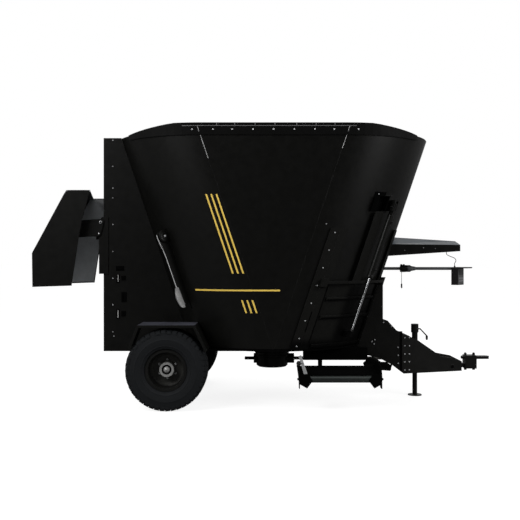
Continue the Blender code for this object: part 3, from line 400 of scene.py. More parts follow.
bm = bmesh.new()
half_width = 0.0095
for offset in (0.156, 0.099, 0.0425):
    for top, foot in ((2.350, 1.483), (1.192, 1.051)):
        corners = []
        for z in (foot, top):
            pair = []
            for shift in (-half_width, half_width):
                angle = math.degrees(math.acos((offset + shift) / tub_radius))
                pair.append(wall_point(-1, angle, film_out, z))
            corners.append((pair[0], pair[1], Vector((0, -1, 0))))
        add_film(bm, corners)
level, level_half = 1.2986, 0.009
corners = []
for angle in (*range(52, 90, 2), 89.99):
    out = away(-1, angle)
    low = wall_point(-1, angle, film_out, level - level_half)
    high = wall_point(-1, angle, film_out, level + level_half)
    corners.append((low, high, out))
seam_x = tub_x - lean * (level - floor_z)
for x in (seam_x + 0.002, 0.123):
    low, high = Vector((x, -film_out, level - level_half)), Vector((x, -film_out, level + level_half))
    corners.append((low, high, Vector((0, -1, 0))))
add_film(bm, corners)
piece("yellow_stripes", bm, yellow_film, sharp=20)

# Rim bands: strips of belting stand round the upper rim on both sides, held by
# a light clamp strip and a row of bolts.
belt_rubber = finish(
    "belt_rubber", (0.0014, 0.0014, 0.0013), 0.006, 0.60, specular=0.05, chips=0.3, dust=0.005, lying=0.2,
    peel=0.5, wave=0.0
)
wear_it(belt_rubber, "rim_band_right", "rim_band_left")


def add_prism(bm, outline, place, depth):
    """An outline in the placement's XY plane, pushed along its Z."""
    low = [bm.verts.new(place @ Vector((u, v, 0.0))) for u, v in outline]
    high = [bm.verts.new(place @ Vector((u, v, depth))) for u, v in outline]
    bridge(bm, [low, high])


def add_block(bm, x0, x1, y0, y1, z0, z1):
    outline = [(x0, y0), (x1, y0), (x1, y1), (x0, y1)]
    add_prism(bm, outline, Matrix.Translation((0, 0, z0)), z1 - z0)


bm = bmesh.new()
joints_bm = bmesh.new()
strip_z = 3.0947
band_out = tub_radius + 0.0083
for side in (-1, 1):
    corners = []
    for end, angles in ((-1, (80.0, 85.0, 89.99)), (1, (89.99, 85.0))):
        for angle in angles:
            out = away(end, -side * angle)
            middle = Vector((tub_x + end * tub_flat_half, 0, strip_z)) + out * (band_out + 0.0025)
            low, high = (middle + Vector((0, 0, half)) for half in (-0.003, 0.003))
            corners.append((low, high, out * 6))
    add_film(bm, corners)
    for x in (-0.567, -0.371, -0.149, 0.068, 0.305, 0.516, 0.721):
        ys = sorted((side * (band_out - 0.001), side * (band_out + 0.004)))
        add_block(joints_bm, x - 0.004, x + 0.004, *ys, 3.100, 3.1298)
dull_strip = finish(
    "dull_strip", (0.10, 0.10, 0.102), 0.2, 0.5, metallic=0.2, chips=0.2, edge=0.001, dust=0.05, wave=0.0
)
piece("rim_clamp_strips", bm, dull_strip, sharp=20)
piece("rim_band_joints", joints_bm, dull_strip)
bright_zinc = finish(
    "bright_zinc", (0.62, 0.63, 0.64), 0.7, 0.40, metallic=0.3, chips=0.1, edge=0.001, dust=0.02, wave=0.0
)


def standing(place, way):
    """Placement at a point whose Z looks along a direction."""
    turn = Vector(way).normalized().to_track_quat("Z", "Y").to_matrix().to_4x4()
    return Matrix.Translation(Vector(place)) @ turn


def on_circle(radius, a, height=0.0):
    return Vector((radius * math.cos(a), radius * math.sin(a), height))


def add_rings(bm, rings, place, flats, closed=False):
    """Joins rings of (radius, height) about the placement's Z, its ends capped."""
    made = []
    for radius, height in rings:
        turns = [math.tau * i / flats for i in range(flats)]
        made.append([bm.verts.new(place @ on_circle(radius, a, height)) for a in turns])
    bridge(bm, made, closed)


def add_bolt(bm, place, flats, proud=0.0):
    """Hexagon head or nut on a washer; proud is how far the thread stands out of a nut."""
    reach = flats / math.sqrt(3)
    head = 0.62 * flats
    washer = 0.12 * flats
    add_rings(bm, [(reach * 1.12, -0.001), (reach * 1.12, washer * 0.7), (reach * 1.04, washer)], place, 14)
    head_rings = [(reach, washer - 0.0002), (reach, washer + head * 0.82), (reach * 0.86, washer + head)]
    add_rings(bm, head_rings, place, 6)
    if proud:
        top = washer + head + proud
        add_rings(bm, [(flats * 0.30, washer), (flats * 0.30, top - 0.002), (flats * 0.24, top)], place, 10)


trees = {}


def onto(name, start, way):
    """Where a line meets a CAD node, with the face's direction there."""
    if name not in trees:
        mesh = nodes[name].data
        corners = [v.co for v in mesh.vertices]
        trees[name] = BVHTree.FromPolygons(corners, [tuple(p.vertices) for p in mesh.polygons])
    place, normal, _, _ = trees[name].ray_cast(Vector(start), Vector(way).normalized())
    if place is None:
        raise ValueError(f"nothing of {name} along the line from {tuple(start)}")
    return place, -normal if normal.dot(Vector(way)) > 0 else normal


zinc = finish(
    "zinc_plate", (0.30, 0.305, 0.31), 0.4, 0.45, metallic=0.4, chips=0.2, edge=0.001, dust=0.05, wave=0.0
)


def bolts_on(name, carrier, lines, flats, material=zinc):
    """Bolt heads where lines, each a start and a direction, meet a CAD node."""
    bm = bmesh.new()
    for start, way in lines:
        place, normal = onto(carrier, start, way)
        add_bolt(bm, standing(place, normal), flats)
    return piece(name, bm, material)


def across(side, x, z, start=0.9):
    """A line that comes in level from a side, at a point of the side view."""
    return Vector((x, side * start, z)), Vector((0, -side, 0))


sides = (("right", -1), ("left", 1))
rim_bolt_x = (-0.835, -0.606, -0.400, -0.171, 0.054, 0.279, 0.503, 0.713, 0.980)
for name, side in sides:
    lines = [across(side, x, 3.056, 1.6) for x in rim_bolt_x]
    bolts_on(f"rim_bolts_{name}", f"rim_band_{name}", lines, 0.013, material=bright_zinc)

# Rear box: two side plates and a back plate form the channel of the rear door. A
# column of bolts holds each side plate's folded edge, with sight windows and clips.
wear_it(black_paint, "rear_frame")
box_face = 0.475
column_x = -1.807
column_z = (3.023, 2.721, 2.467, 2.354, 2.043, 1.730, 1.417, 1.108, 0.795)
for name, side in sides:
    lines = [across(side, column_x, z) for z in column_z] + [across(side, -1.795, 0.746)]
    bolts_on(f"rear_box_bolts_{name}", "rear_frame", lines, 0.011)
pale_window = finish(
    "pale_window", (0.40, 0.40, 0.39), 0.4, 0.3, chips=0.0, edge=0.001, dust=0.2, wave=0.0, cloud_colour=0.05
)
bm = bmesh.new()
windows = bmesh.new()
# Clip plates and levers in (x, x, distance out, distance out, z, z).
fittings = [
    (-1.771, -1.678, box_face, 0.481, 1.508, 1.561), (-1.755, -1.694, 0.481, 0.489, 1.520, 1.532),
    (-1.707, -1.649, box_face, 0.481, 1.142, 1.258), (-1.700, -1.690, 0.481, 0.489, 1.160, 1.240)
]
for z0, z1 in ((1.378, 1.456), (0.959, 1.049)):
    low, high = z0 - 0.012, z1 + 0.012
    for x0, x1, foot, top in (
        (-1.766, -1.752, low, high), (-1.743, -1.729, low, high),
        (-1.752, -1.743, low, z0), (-1.752, -1.743, z1, high),
    ):
        fittings.append((x0, x1, box_face, 0.4795, foot, top))
    fittings.append((-1.708, -1.660, box_face, 0.483, z0 + 0.02, z1 - 0.01))
    for side in (-1, 1):
        add_block(windows, -1.752, -1.743, *sorted((side * box_face, side * 0.4765)), z0, z1)
for x0, x1, y0, y1, z0, z1 in fittings:
    for side in (-1, 1):
        add_block(bm, x0, x1, *sorted((side * y0, side * y1)), z0, z1)
piece("rear_box_fittings", bm, matt_black)
piece("rear_box_windows", windows, pale_window)

# Rear door: a flat sheet with ribs runs in the box's guides, moved by an upright
# cylinder whose gland and ports are turned steel.
frame_paint = finish(
    "frame_black_paint", (0.0030, 0.0030, 0.0026), 0.03, 0.38, specular=0.12, chips=0.4, dust=0.015,
    lying=0.15
)
bright_steel = finish(
    "ground_steel", (0.33, 0.335, 0.34), 0.4, 0.24, metallic=1.0, chips=0.1, edge=0.001, dust=0.03, wave=0.0
)
wear_it(frame_paint, "rear_door", "rear_door_barrel")
wear_it(bright_steel, "rear_door_rod", "side_door_rod")
rear_ram_x = -1.882


def add_port(bm, place, radius, nut):
    """A cylinder's hose port, closed with a nut."""
    add_rings(bm, [(radius, 0.0), (radius, 0.014), (radius - 0.002, 0.016)], place, 12)
    add_bolt(bm, place @ Matrix.Translation((0, 0, 0.016)), nut)


bm = bmesh.new()
gland = [(0.0135, -0.010), (0.026, -0.010), (0.0315, -0.004), (0.0315, 0.020), (0.030, 0.022), (0.0135, 0.022)]
add_rings(bm, gland, Matrix.Translation((rear_ram_x, 0, 1.95)), 24, closed=True)
for z in (2.00, 2.80):
    add_port(bm, standing((rear_ram_x, -0.028, z), (0, -1, 0)), 0.013, 0.019)
piece("rear_cylinder_fittings", bm, zinc)
guide_z = (0.70, 1.05, 1.40, 1.75, 2.10, 2.25)
lines = [((-2.2, side * 0.451, z), Vector((1, 0, 0))) for side in (-1, 1) for z in guide_z]
bolts_on("rear_guide_bolts", "rear_frame", lines, 0.015)

# Rear hood: folded sheet with open front and foot that turns the feed down. It swings
# on two welded arms with bright pins, and galvanised sheet lines its side plates.
wear_it(black_paint, "rear_hood", "hood_arm_right", "hood_arm_left")
galvanised = finish(
    "galvanised_sheet", (0.46, 0.48, 0.50), 0.5, 0.50, metallic=0.2, chips=0.2, edge=0.002, dust=0.05
)


def scale_colour(material, factor):
    """Multiplies a finish's base colour by a factor that changes over the surface."""
    tree = material.node_tree
    base = tree.nodes["Principled BSDF"].inputs["Base Color"]
    scaled = node(tree, "ShaderNodeVectorMath", {0: base.links[0].from_socket}, operation="SCALE")
    tree.links.new(factor, scaled.inputs["Scale"])
    tree.links.new(scaled.outputs["Vector"], base)


# Painted shade darkens the liners toward their top front corner.
tree = galvanised.node_tree
place = node(tree, "ShaderNodeSeparateXYZ", {0: object_place(tree)})
diagonal = maths(tree, "ADD", times(tree, place.outputs["X"], 1.2), place.outputs["Z"])
liner_shade = times(tree, ramp(tree, diagonal, -0.34, -0.245), 0.91)
scale_colour(galvanised, maths(tree, "SUBTRACT", 1.0, liner_shade))


def side_view(y):
    """Placement of an outline of (x, z) points at a Y, whose depth runs to the right side."""
    return Matrix.Translation((0, y, 0)) @ Matrix.Rotation(math.radians(90), 4, "X")


liner_sheet = 0.0015
liner = [
    (-2.052, 2.422), (-2.310, 2.422), (-2.696, 1.708), (-2.692, 1.345), (-2.262, 1.350), (-2.178, 1.906),
    (-2.144, 2.089)
]
for name, side in sides:
    bm = bmesh.new()
    ring = standing((-1.945, side * 0.5032, 2.07), (0, side, 0))
    add_rings(bm, [(0.015, 0.0), (0.015, 0.004), (0.013, 0.005)], ring, 20)
    place, normal = onto(f"hood_arm_{name}", *across(side, -1.963, 1.938))
    add_bolt(bm, standing(place, normal), 0.013)
    piece(f"hood_pin_washer_{name}", bm, bright_zinc, body="rear_hood")
    bm = bmesh.new()
    add_prism(bm, liner, side_view(side * 0.6135 + liner_sheet / 2), liner_sheet)
    piece(f"hood_liner_{name}", bm, galvanised, body="rear_hood")
hood_line = [(-2.042, 2.433), (-2.317, 2.433), (-2.7075, 1.711), (-2.7025, 1.322)]
bm = bmesh.new()
for side in (-1, 1):
    points = []
    for (x0, z0), (x1, z1) in zip(hood_line, hood_line[1:]):
        for i in range(12):
            t = i / 12
            points.append((x0 + (x1 - x0) * t + 0.004, side * 0.6165, z0 + (z1 - z0) * t - 0.004))
    add_bar(bm, points, 0.0038, 6)
piece("hood_edge_welds", bm, black_paint, body="rear_hood", sharp=60)

# Side door: a curved sheet slides up the front wall in bolted guides under a belt
# bar. Its cylinder hangs from a welded bracket, half covered by a guard strip.


def toward_wall(end, angle, z):
    """A line that meets an end wall's outside squarely in plan."""
    return wall_point(end, angle, 1.9, z), -away(end, angle)


def add_wall_block(bm, angles, radii, heights, parts=1):
    """A block between two angles, radii and heights that bends and leans with the front wall."""
    rings = []
    for i in range(parts + 1):
        angle = angles[0] + (angles[1] - angles[0]) * i / parts
        (near, far), (low, high) = radii, heights
        pairs = ((near, low), (far, low), (far, high), (near, high))
        rings.append([bm.verts.new(wall_point(1, angle, r, z)) for r, z in pairs])
    bridge(bm, rings)


wear_it(frame_paint, "side_door_bracket", "side_door_barrel")
door_paint = finish(
    "door_paint", (0.0052, 0.0052, 0.0047), 0.03, 0.45, specular=0.045, chips=0.3, dust=0.01, lying=0.15
)
# Painted shade darkens its foot and its front half under the belt.
tree = door_paint.node_tree
place = node(tree, "ShaderNodeSeparateXYZ", {0: object_place(tree)})
upright = maths(tree, "SUBTRACT", place.outputs["X"], times(tree, place.outputs["Z"], lean))
under_belt = maths(tree, "SUBTRACT", 1.0, ramp(tree, place.outputs["Z"], 1.30, 1.38))
at_foot = maths(tree, "SUBTRACT", 1.0, ramp(tree, place.outputs["Z"], 0.70, 0.80))
front_half = times(tree, ramp(tree, upright, 0.40, 0.50), under_belt)
door_shade = maths(tree, "MAXIMUM", front_half, at_foot)
scale_colour(door_paint, maths(tree, "SUBTRACT", 1.0, times(tree, door_shade, 0.92)))
wear_it(door_paint, "side_door", "side_door_frame")
for name, angle, metal in (("front", 22.5, frame_paint), ("rear", 77.5, zinc)):
    heights = [1.930 - 0.1925 * i for i in range(7)] + [0.69]
    lines = [toward_wall(1, angle, z) for z in heights]
    bolts_on(f"door_{name}_guide_bolts", "side_door_frame", lines, 0.012, metal)
bm = bmesh.new()
beads = ((70.7, 0.68, 1.355, 0.0065), (25.3, 0.68, 1.355, 0.0065), (75.3, 0.846, 1.068, 0.0055))
for angle, low, high, thick in beads:
    heights = [low + (high - low) * i / 12 for i in range(13)]
    line = [onto("side_door_frame", *toward_wall(1, angle, z))[0] for z in heights]
    add_bar(bm, line, thick, 8)
piece("door_guide_beads", bm, matt_black, sharp=60)
rib_place = onto("side_door", *toward_wall(1, 60.0, 1.205))[0]
rib_out = math.hypot(rib_place.x - tub_x - lean * (rib_place.z - floor_z), rib_place.y)
# Matt black strips along the ribs' lower edges are painted shadow under the ribs.
bm = bmesh.new()
for z in (0.99, 1.19):
    add_wall_block(bm, (27.5, 68.5), (rib_out - 0.001, rib_out + 0.0015), (z - 0.004, z + 0.011), 12)
piece("door_rib_shadows", bm, matt_black, body="side_door", sharp=60)
bolts_on("wall_lone_bolt", "tub_front_wall", [toward_wall(1, 84.2, 2.025)], 0.010)
ram_angle, ram_reach = 45.5, 1.155
ram_way = Vector((lean, 0, 1)).normalized()


def ram_place(z):
    return wall_point(1, ram_angle, ram_reach, z)


bm = bmesh.new()
gland = [(0.0138, -0.012), (0.030, -0.012), (0.0368, -0.004), (0.0368, 0.024), (0.0352, 0.027), (0.0138, 0.027)]
add_rings(bm, gland, standing(ram_place(1.44), ram_way), 28, closed=True)
out = away(1, ram_angle)
for z in (1.52, 2.05):
    add_port(bm, standing(ram_place(z) + out * 0.032, out), 0.014, 0.020)
for turn in (90, -90):
    along = away(1, ram_angle + turn)
    add_bolt(bm, standing(ram_place(2.225) + along * 0.037, along), 0.018)
piece("side_cylinder_fittings", bm, frame_paint)
bm = bmesh.new()
for angles in ((50.0, 54.5), (54.5, 59.0)):
    add_wall_block(bm, angles, (tub_radius - 0.002, tub_radius + 0.007), (2.172, 2.390))
for angles in ((50.2, 50.7), (57.8, 58.3)):
    add_wall_block(bm, angles, (tub_radius, tub_radius + 0.085), (2.180, 2.335))
add_wall_block(bm, (50.2, 58.3), (tub_radius, tub_radius + 0.088), (2.335, 2.342))
piece("side_cylinder_gusset", bm, matt_black)
bm = bmesh.new()
for angle, height in ((56.2, 2.365), (57.0, 2.218)):
    add_bolt(bm, standing(wall_point(1, angle, tub_radius + 0.006, height), away(1, angle)), 0.010)
piece("side_cylinder_gusset_bolts", bm, zinc)
bm = bmesh.new()
add_bolt(bm, standing(ram_place(0.834), ram_way), 0.030)
piece("side_rod_nut", bm, frame_paint, body="side_door")

# Restrictors: a curved blade swings through a slot in the wall on a pin between
# two cheeks, under round caps. A strip of pale steel along its back edge is a painted
# highlight, and feed has polished its shoe.
for name, _ in sides:
    wear_it(frame_paint, f"restrictor_bracket_{name}", f"restrictor_{name}")
# Pale steel for the blades' back edges, a painted highlight.
edge_highlight_steel = finish(
    "painted_edge_highlight", 0.42, 0.5, 0.36, metallic=0.35, chips=0.3, edge=0.001, dust=0.05, wave=0.0,
    cloud_colour=0.5
)
shoe_steel = finish(
    "restrictor_shoe_steel", 0.24, 0.45, 0.40, metallic=0.35, edge=0.002, dust=0.05, wave=0.0,
    cloud_colour=0.85
)
# Outlines in (along the blade, out from its pivot).
rim = [
    (-0.035, 0.086), (0.03, 0.084), (0.09, 0.076), (0.15, 0.066), (0.22, 0.060), (0.32, 0.0575), (0.60, 0.0569)
]
foot = [(0.60, 0.0500), (0.03, 0.0415), (-0.035, 0.0285)]
tip = [
    (0.585, 0.050), (0.60, 0.074), (0.65, 0.094), (0.71, 0.102), (0.77, 0.096), (0.815, 0.078), (0.832, 0.052),
    (0.826, 0.026), (0.80, 0.020), (0.70, 0.026), (0.60, 0.030)
]
for name, end, side in (("right", -1, 1), ("left", 1, -1)):
    body = f"restrictor_{name}"
    normal = away(end, pivot_angle * side)
    down = -Vector((end * lean, 0, 1)).normalized()
    lift = (normal - normal.dot(down) * down).normalized()
    axis = down.cross(lift)
    pivot = wall_point(end, pivot_angle * side, tub_radius + 0.06, pivot_z)
    bm = bmesh.new()
    for way in (-1, 1):
        cap = standing(pivot + axis * way * 0.019, axis * way)
        add_rings(bm, [(0.072, 0.0), (0.074, 0.004), (0.070, 0.009), (0.040, 0.012)], cap, 28)
    piece(f"restrictor_caps_{name}", bm, frame_paint, sharp=50)
    bm = bmesh.new()
    for way in (-1, 1):
        add_bolt(bm, standing(pivot + axis * way * 0.030, axis * way), 0.020)
    piece(f"restrictor_pin_nuts_{name}", bm, zinc)
    plane = Matrix((down, lift, axis)).transposed().to_4x4()
    plane.translation = pivot
    bm = bmesh.new()
    add_prism(bm, [(d, o - 0.003) for d, o in rim] + foot, plane @ Matrix.Translation((0, 0, -0.0050)), 0.0100)
    piece(f"restrictor_back_{name}", bm, frame_paint, body=body)
    # The back edge's strip of pale steel is a painted highlight.
    bm = bmesh.new()
    edge = rim + [(d, o - 0.0035) for d, o in rim[::-1]]
    add_prism(bm, edge, plane @ Matrix.Translation((0, 0, -0.0053)), 0.0106)
    piece(f"restrictor_edge_highlight_{name}", bm, edge_highlight_steel, body=body)
    bm = bmesh.new()
    add_prism(bm, tip, plane @ Matrix.Translation((0, 0, -0.0072)), 0.0144)
    piece(f"restrictor_shoe_{name}", bm, shoe_steel, body=body)

# Wheels: implement tyres on painted steel rims, each on a hub with six studs and a
# pressed grease cap, under a folded fender. The rims' dish is painted paler as painted
# light and their barrel darker as painted shade, and the fender's top carries painted
# sky light in a bluish dust colour.
wear_it(frame_paint, "axle_beam")
rim_paint = finish(
    "rim_paint", (0.0220, 0.0220, 0.0200), 0.03, 0.42, specular=0.12, chips=0.4, dust=0.01, lying=0.15
)
axle_x, axle_z, track_half = -1.108, 0.441, 1.0
# Painted shade darkens the rim outside its dish, over barrel and flange, while the
# dish keeps a paler grey as painted light.
tree = rim_paint.node_tree
spoke = object_place(tree)
for operation, value in (("SUBTRACT", (axle_x, 0.0, axle_z)), ("MULTIPLY", (1.0, 0.0, 1.0))):
    spoke = node(tree, "ShaderNodeVectorMath", {0: spoke, 1: value}, operation=operation).outputs[0]
reach = node(tree, "ShaderNodeVectorMath", {0: spoke}, operation="LENGTH").outputs["Value"]
barrel_shade = times(tree, ramp(tree, reach, 0.165, 0.190), 0.8)
scale_colour(rim_paint, maths(tree, "SUBTRACT", 1.0, barrel_shade))
wear_it(rim_paint, "rim_right", "rim_left")
# The fender's top carries painted sky light in a bluish dust colour.
sky_lit_fender_paint = finish(
    "sky_lit_topped_paint", (0.0030, 0.0030, 0.0026), 0.03, 0.38, specular=0.12, chips=0.4, dust=0.38,
    lying=1.0, top_light=(0.105, 0.108, 0.140, 1.0)
)
wear_it(sky_lit_fender_paint, "fender_right", "fender_left")
hub_metal = finish(
    "turned_hub", (0.21, 0.21, 0.205), 0.3, 0.40, metallic=0.3, chips=0.2, edge=0.002, dust=0.05, wave=0.0
)
wear_it(hub_metal, "hub_right", "hub_left")
tyre_rubber = finish(
    "tyre_rubber", (0.0042, 0.0049, 0.0058), (0.010, 0.010, 0.011), 0.72, specular=0.14, chips=0.4,
    dust=0.01, lying=0.0, peel=0.5, wave=0.0, bump=0.0010
)
# The tyre's section in (radius, across), from its inner bead to the middle of the tread.
carcass = [
    (0.205, -0.149), (0.2285, -0.1545), (0.231, -0.165), (0.2340, -0.1735), (0.2380, -0.1790),
    (0.2420, -0.1795), (0.262, -0.189), (0.266, -0.1925), (0.270, -0.1905), (0.300, -0.1965),
    (0.330, -0.1985), (0.333, -0.2005), (0.337, -0.1985), (0.360, -0.1975), (0.388, -0.1930),
    (0.391, -0.1950), (0.395, -0.1915), (0.412, -0.184), (0.424, -0.170), (0.431, -0.130),
    (0.4345, -0.060), (0.4350, 0.0),
]
carcass += [(r, -h) for r, h in carcass[-2::-1]]
pitches = 44
shoulder = 0.160
outer_arc = [(0.0, 0.4408), (0.06, 0.4408), (0.13, 0.4405), (0.165, 0.4395), (0.184, 0.4320), (0.194, 0.4120)]


def tread_radius(w):
    w = abs(w)
    for (w0, r0), (w1, r1) in zip(outer_arc, outer_arc[1:]):
        if w <= w1:
            return r0 + (r1 - r0) * (w - w0) / (w1 - w0)
    return outer_arc[-1][1]


def add_tread_block(bm, place, corners):
    """A block from corners (angle, across), its top on the tread's arc and its foot in the carcass."""
    tops, feet = [], []
    for angle, w in corners:
        r = tread_radius(w)
        for ring, radius in ((tops, r), (feet, r - 0.022)):
            ring.append(bm.verts.new(place @ on_circle(radius, angle, w)))
    for i in range(len(corners)):
        bm.faces.new((feet[i - 1], feet[i], tops[i], tops[i - 1]))
    bm.faces.new(tops)


black_rubber = finish("black_rubber", 0.012, 0.03, 0.72, specular=0.25, chips=0.4, peel=0.5, wave=0.0)
stud_circle = 0.1025
# Turned pieces on the hub: flats, sharp angle, whether bored through, and rings of
# (radius, height out of the mounting face).
turned = (
    ("grease_cap", hub_metal, "grey_zinc", 36, 40, False, [
        (0.034, 0.0745), (0.034, 0.088), (0.031, 0.097), (0.022, 0.103), (0.008, 0.105), (0.006, 0.107),
        (0.003, 0.108)
    ]),
    ("hub_seal", matt_black, "black_rubber", 36, 35, True, [
        (0.0600, 0.0748), (0.0600, 0.0762), (0.0345, 0.0762), (0.0345, 0.0748)
    ]),
    ("hub_nose", hub_metal, "grey_zinc", 40, 40, True, [
        (0.0590, 0.0745), (0.0590, 0.0800), (0.0610, 0.0825), (0.0770, 0.0825), (0.0800, 0.0795),
        (0.0800, 0.0300), (0.0640, 0.0300)
    ]),
)
stem = [(0.007, 0.0), (0.0055, 0.012), (0.0042, 0.030), (0.0048, 0.032), (0.0048, 0.042), (0.0035, 0.044)]
for name, side in sides:
    hub_place = Vector((axle_x, side * track_half, axle_z))
    out_way = Matrix.Translation(hub_place) @ Matrix.Rotation(math.radians(-90 * side), 4, "X")
    bm = bmesh.new()
    add_rings(bm, carcass, out_way, 96, closed=True)
    step = math.tau / pitches
    for i in range(pitches):
        a = i * step
        for hand in (-1, 1):
            b = a + (0.5 * step if hand > 0 else 0.0)
            for start, stop, near, far, slip in (
                (0.0, 0.80, 0.005, 0.062, 0.14),
                (0.24, 1.04, 0.071, 0.128, 0.14),
                (0.40, 1.26, 0.137, shoulder, 0.04),
            ):
                block = [(start, near), (stop, near), (stop + slip, far), (start + slip, far)]
                if far == shoulder:
                    block[2:] = [(stop + slip, far), (stop + slip, 0.182), (stop + slip, 0.194)]
                    block += [(start + slip, 0.194), (start + slip, 0.182), (start + slip, far)]
                add_tread_block(bm, out_way, [(b + u * step, w * hand) for u, w in block])
    tyre = piece(f"tyre_tread_{name}", bm, tyre_rubber, body=f"wheel_{name}", sharp=28)
    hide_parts(f"tyre_{name}")
    bm = bmesh.new()
    for i in range(6):
        stud = on_circle(stud_circle, math.radians(90 + 60 * i))
        add_bolt(bm, out_way @ Matrix.Translation(stud), 0.021, 0.010)
    piece(f"wheel_nuts_{name}", bm, zinc, body=f"wheel_{name}")
    for label, metal, slot, flats, sharp, bored, rings in turned:
        bm = bmesh.new()
        add_rings(bm, rings, out_way, flats, bored)
        piece(f"{label}_{name}", bm, metal, f"wheel_{name}", sharp)
    bm = bmesh.new()
    stem_way = out_way @ Matrix.Translation((0.172, 0.0, 0.018)) @ Matrix.Rotation(math.radians(12), 4, "Y")
    add_rings(bm, stem, stem_way, 12)
    piece(f"tyre_valve_{name}", bm, black_rubber, body=f"wheel_{name}")

# Frame: two plate rails under the floor carry the tub, and the bolted drawbar runs
# on from them to the hitch.
wear_it(frame_paint, "rail_right", "rail_left", "drawbar_frame", "hitch_block", "hitch_tongue")
rail_bolts = (
    (1.363, 0.895), (1.458, 0.847), (1.225, 0.670), (1.250, 0.640), (1.260, 0.690), (1.536, 0.600),
    (1.536, 0.505), (1.536, 0.412)
)
drawbar_bolts = [(x, z) for x in (1.617, 1.674) for z in (0.711, 0.615, 0.519, 0.426, 0.330)]
for name, side in sides:
    bolts_on(f"rail_bolts_{name}", f"rail_{name}", [across(side, x, z) for x, z in rail_bolts], 0.013)
    lines = [across(side, x, z) for x, z in drawbar_bolts]
    bolts_on(f"drawbar_bolts_{name}", "drawbar_frame", lines, 0.013)
    # A matt black strip where the drawbar plate meets the rail is painted shadow in the step between them.
    joint_shadow = bmesh.new()
    ys = sorted((side * 0.3495, side * 0.3515))
    add_block(joint_shadow, 1.555, 1.583, *ys, 0.325, 0.775)
    piece(f"bar_joint_shadow_{name}", joint_shadow, matt_black)
    place, normal = onto("drawbar_frame", *across(side, 2.222, 0.347))
    ring = bmesh.new()
    eye = [(0.021, -0.001), (0.028, -0.001), (0.028, 0.003), (0.026, 0.004), (0.021, 0.004)]
    add_rings(ring, eye, standing(place, normal), 24, closed=True)
    piece(f"drawbar_eye_{name}", ring, frame_paint)
    # A matt black disc inside the eye is painted shade standing in for its bore.
    bore_shade = bmesh.new()
    add_rings(bore_shade, [(0.0208, -0.001), (0.0208, 0.0012)], standing(place, normal), 20)
    piece(f"drawbar_eye_shade_{name}", bore_shade, matt_black)
bm = bmesh.new()
for x in (2.42, 2.522):
    add_bolt(bm, Matrix.Translation((x, 0, 0.468)), 0.030)
    add_bolt(bm, standing((x, 0, 0.309), (0, 0, -1)), 0.030)
piece("hitch_nuts", bm, frame_paint)

# Jack: a screw jack beside the drawbar's cross member, painted black like the frame,
# with two turned collars and a bent crank that ends in a rubber knob.
wear_it(frame_paint, "jack_body", "jack_leg", "jack_crank")
jack_x, jack_y = 1.775, -0.13
bm = bmesh.new()
knob = [(0.006, -0.004), (0.012, 0.0), (0.014, 0.008), (0.013, 0.040), (0.009, 0.048), (0.003, 0.050)]
add_rings(bm, knob, standing((jack_x + 0.1453, jack_y, 0.715), (0, 0, -1)), 20)
piece("crank_knob", bm, black_rubber, sharp=50)
bm = bmesh.new()
collar = [(0.0352, 0.0), (0.0395, 0.002), (0.0395, 0.012), (0.0352, 0.014)]
for z in (0.42, 0.755):
    add_rings(bm, collar, Matrix.Translation((jack_x, jack_y, z)), 28, closed=True)
piece("jack_collars", bm, frame_paint, sharp=50)

# Drive: a planetary gearbox hangs under the floor, its flange bolted all round, and
# a plain shaft comes in from the front.
wear_it(frame_paint, "gearbox")
worn_steel = finish(
    "steel_worn_by_feed", (0.16, 0.152, 0.142), (0.42, 0.41, 0.39), 0.46, metallic=0.85, chips=1.0, edge=0.010,
    cloud_colour=0.45, spread=0.16
)
wear_it(worn_steel, "input_shaft")
bolt_circle = 0.222
bm = bmesh.new()
for i in range(16):
    place = Vector((tub_x, 0, 0.590)) + on_circle(bolt_circle, math.tau * (i + 0.5) / 16)
    add_bolt(bm, standing(place, (0, 0, -1)), 0.019)
piece("gearbox_bolts", bm, zinc)
bm = bmesh.new()
rib = [(0.2045, 0.0), (0.2125, 0.003), (0.2125, 0.011), (0.2045, 0.014)]
for z in (0.470, 0.505, 0.540):
    add_rings(bm, rib, Matrix.Translation((tub_x, 0, z)), 48, closed=True)
piece("gearbox_ribs", bm, frame_paint, sharp=40)

# Tray: the discharge tray of black sheet hangs from a beam beside the rail and tilts
# on two pins. A dark polished drum at its lip turns under the feed.
wear_it(matt_black, "tray", "tray_support")
roller_steel = finish(
    "dark_polished_drum", (0.046, 0.052, 0.050), 0.2, 0.30, metallic=0.9, chips=0.2, edge=0.002, dust=0.05,
    wave=0.0
)
wear_it(roller_steel, "tray_roller")
bm = bmesh.new()
add_block(bm, 0.337, 1.203, -1.1050, -1.0990, 0.330, 0.3880)
piece("roller_scraper", bm, matt_black, body="tray")
brace = [
    (1.0887, 0.4473), (1.1461, 0.4967), (1.1966, 0.5254), (1.2300, 0.5070), (1.3551, 0.4186), (1.4194, 0.4324),
    (1.3975, 0.3612), (1.3114, 0.3681), (1.1828, 0.3532), (1.1100, 0.3900)
]
bm = bmesh.new()
add_prism(bm, brace, side_view(-0.575), 0.047)
piece("tray_brace_cover", bm, frame_paint)
bm = bmesh.new()
for x, way in ((0.3245, -1), (1.2155, 1)):
    add_bolt(bm, standing((x, -1.15, 0.348), (way, 0, 0)), 0.024)
piece("roller_nuts", bm, frame_paint, body="tray")
lever = [(0.318, 0.602), (0.347, 0.611), (0.424, 0.384), (0.388, 0.366)]
bm = bmesh.new()
add_prism(bm, lever, side_view(-1.188), 0.005)
piece("tray_lever", bm, zinc, body="tray")
bm = bmesh.new()
knob = [(0.010, 0.0), (0.022, 0.003), (0.027, 0.012), (0.025, 0.022), (0.012, 0.026)]
add_rings(bm, knob, standing((0.322, -1.180, 0.520), (0, 1, 0)), 20)
add_rings(bm, [(0.007, 0.0), (0.007, 0.040)], standing((0.322, -1.185, 0.520), (1, -0.1, 0)), 12)
piece("tray_lever_knob", bm, black_rubber, body="tray", sharp=50)

# Auger: a conical core with one welded flight, polished by feed, and five cranked
# knives bolted to its edge.
wear_it(worn_steel, "auger")
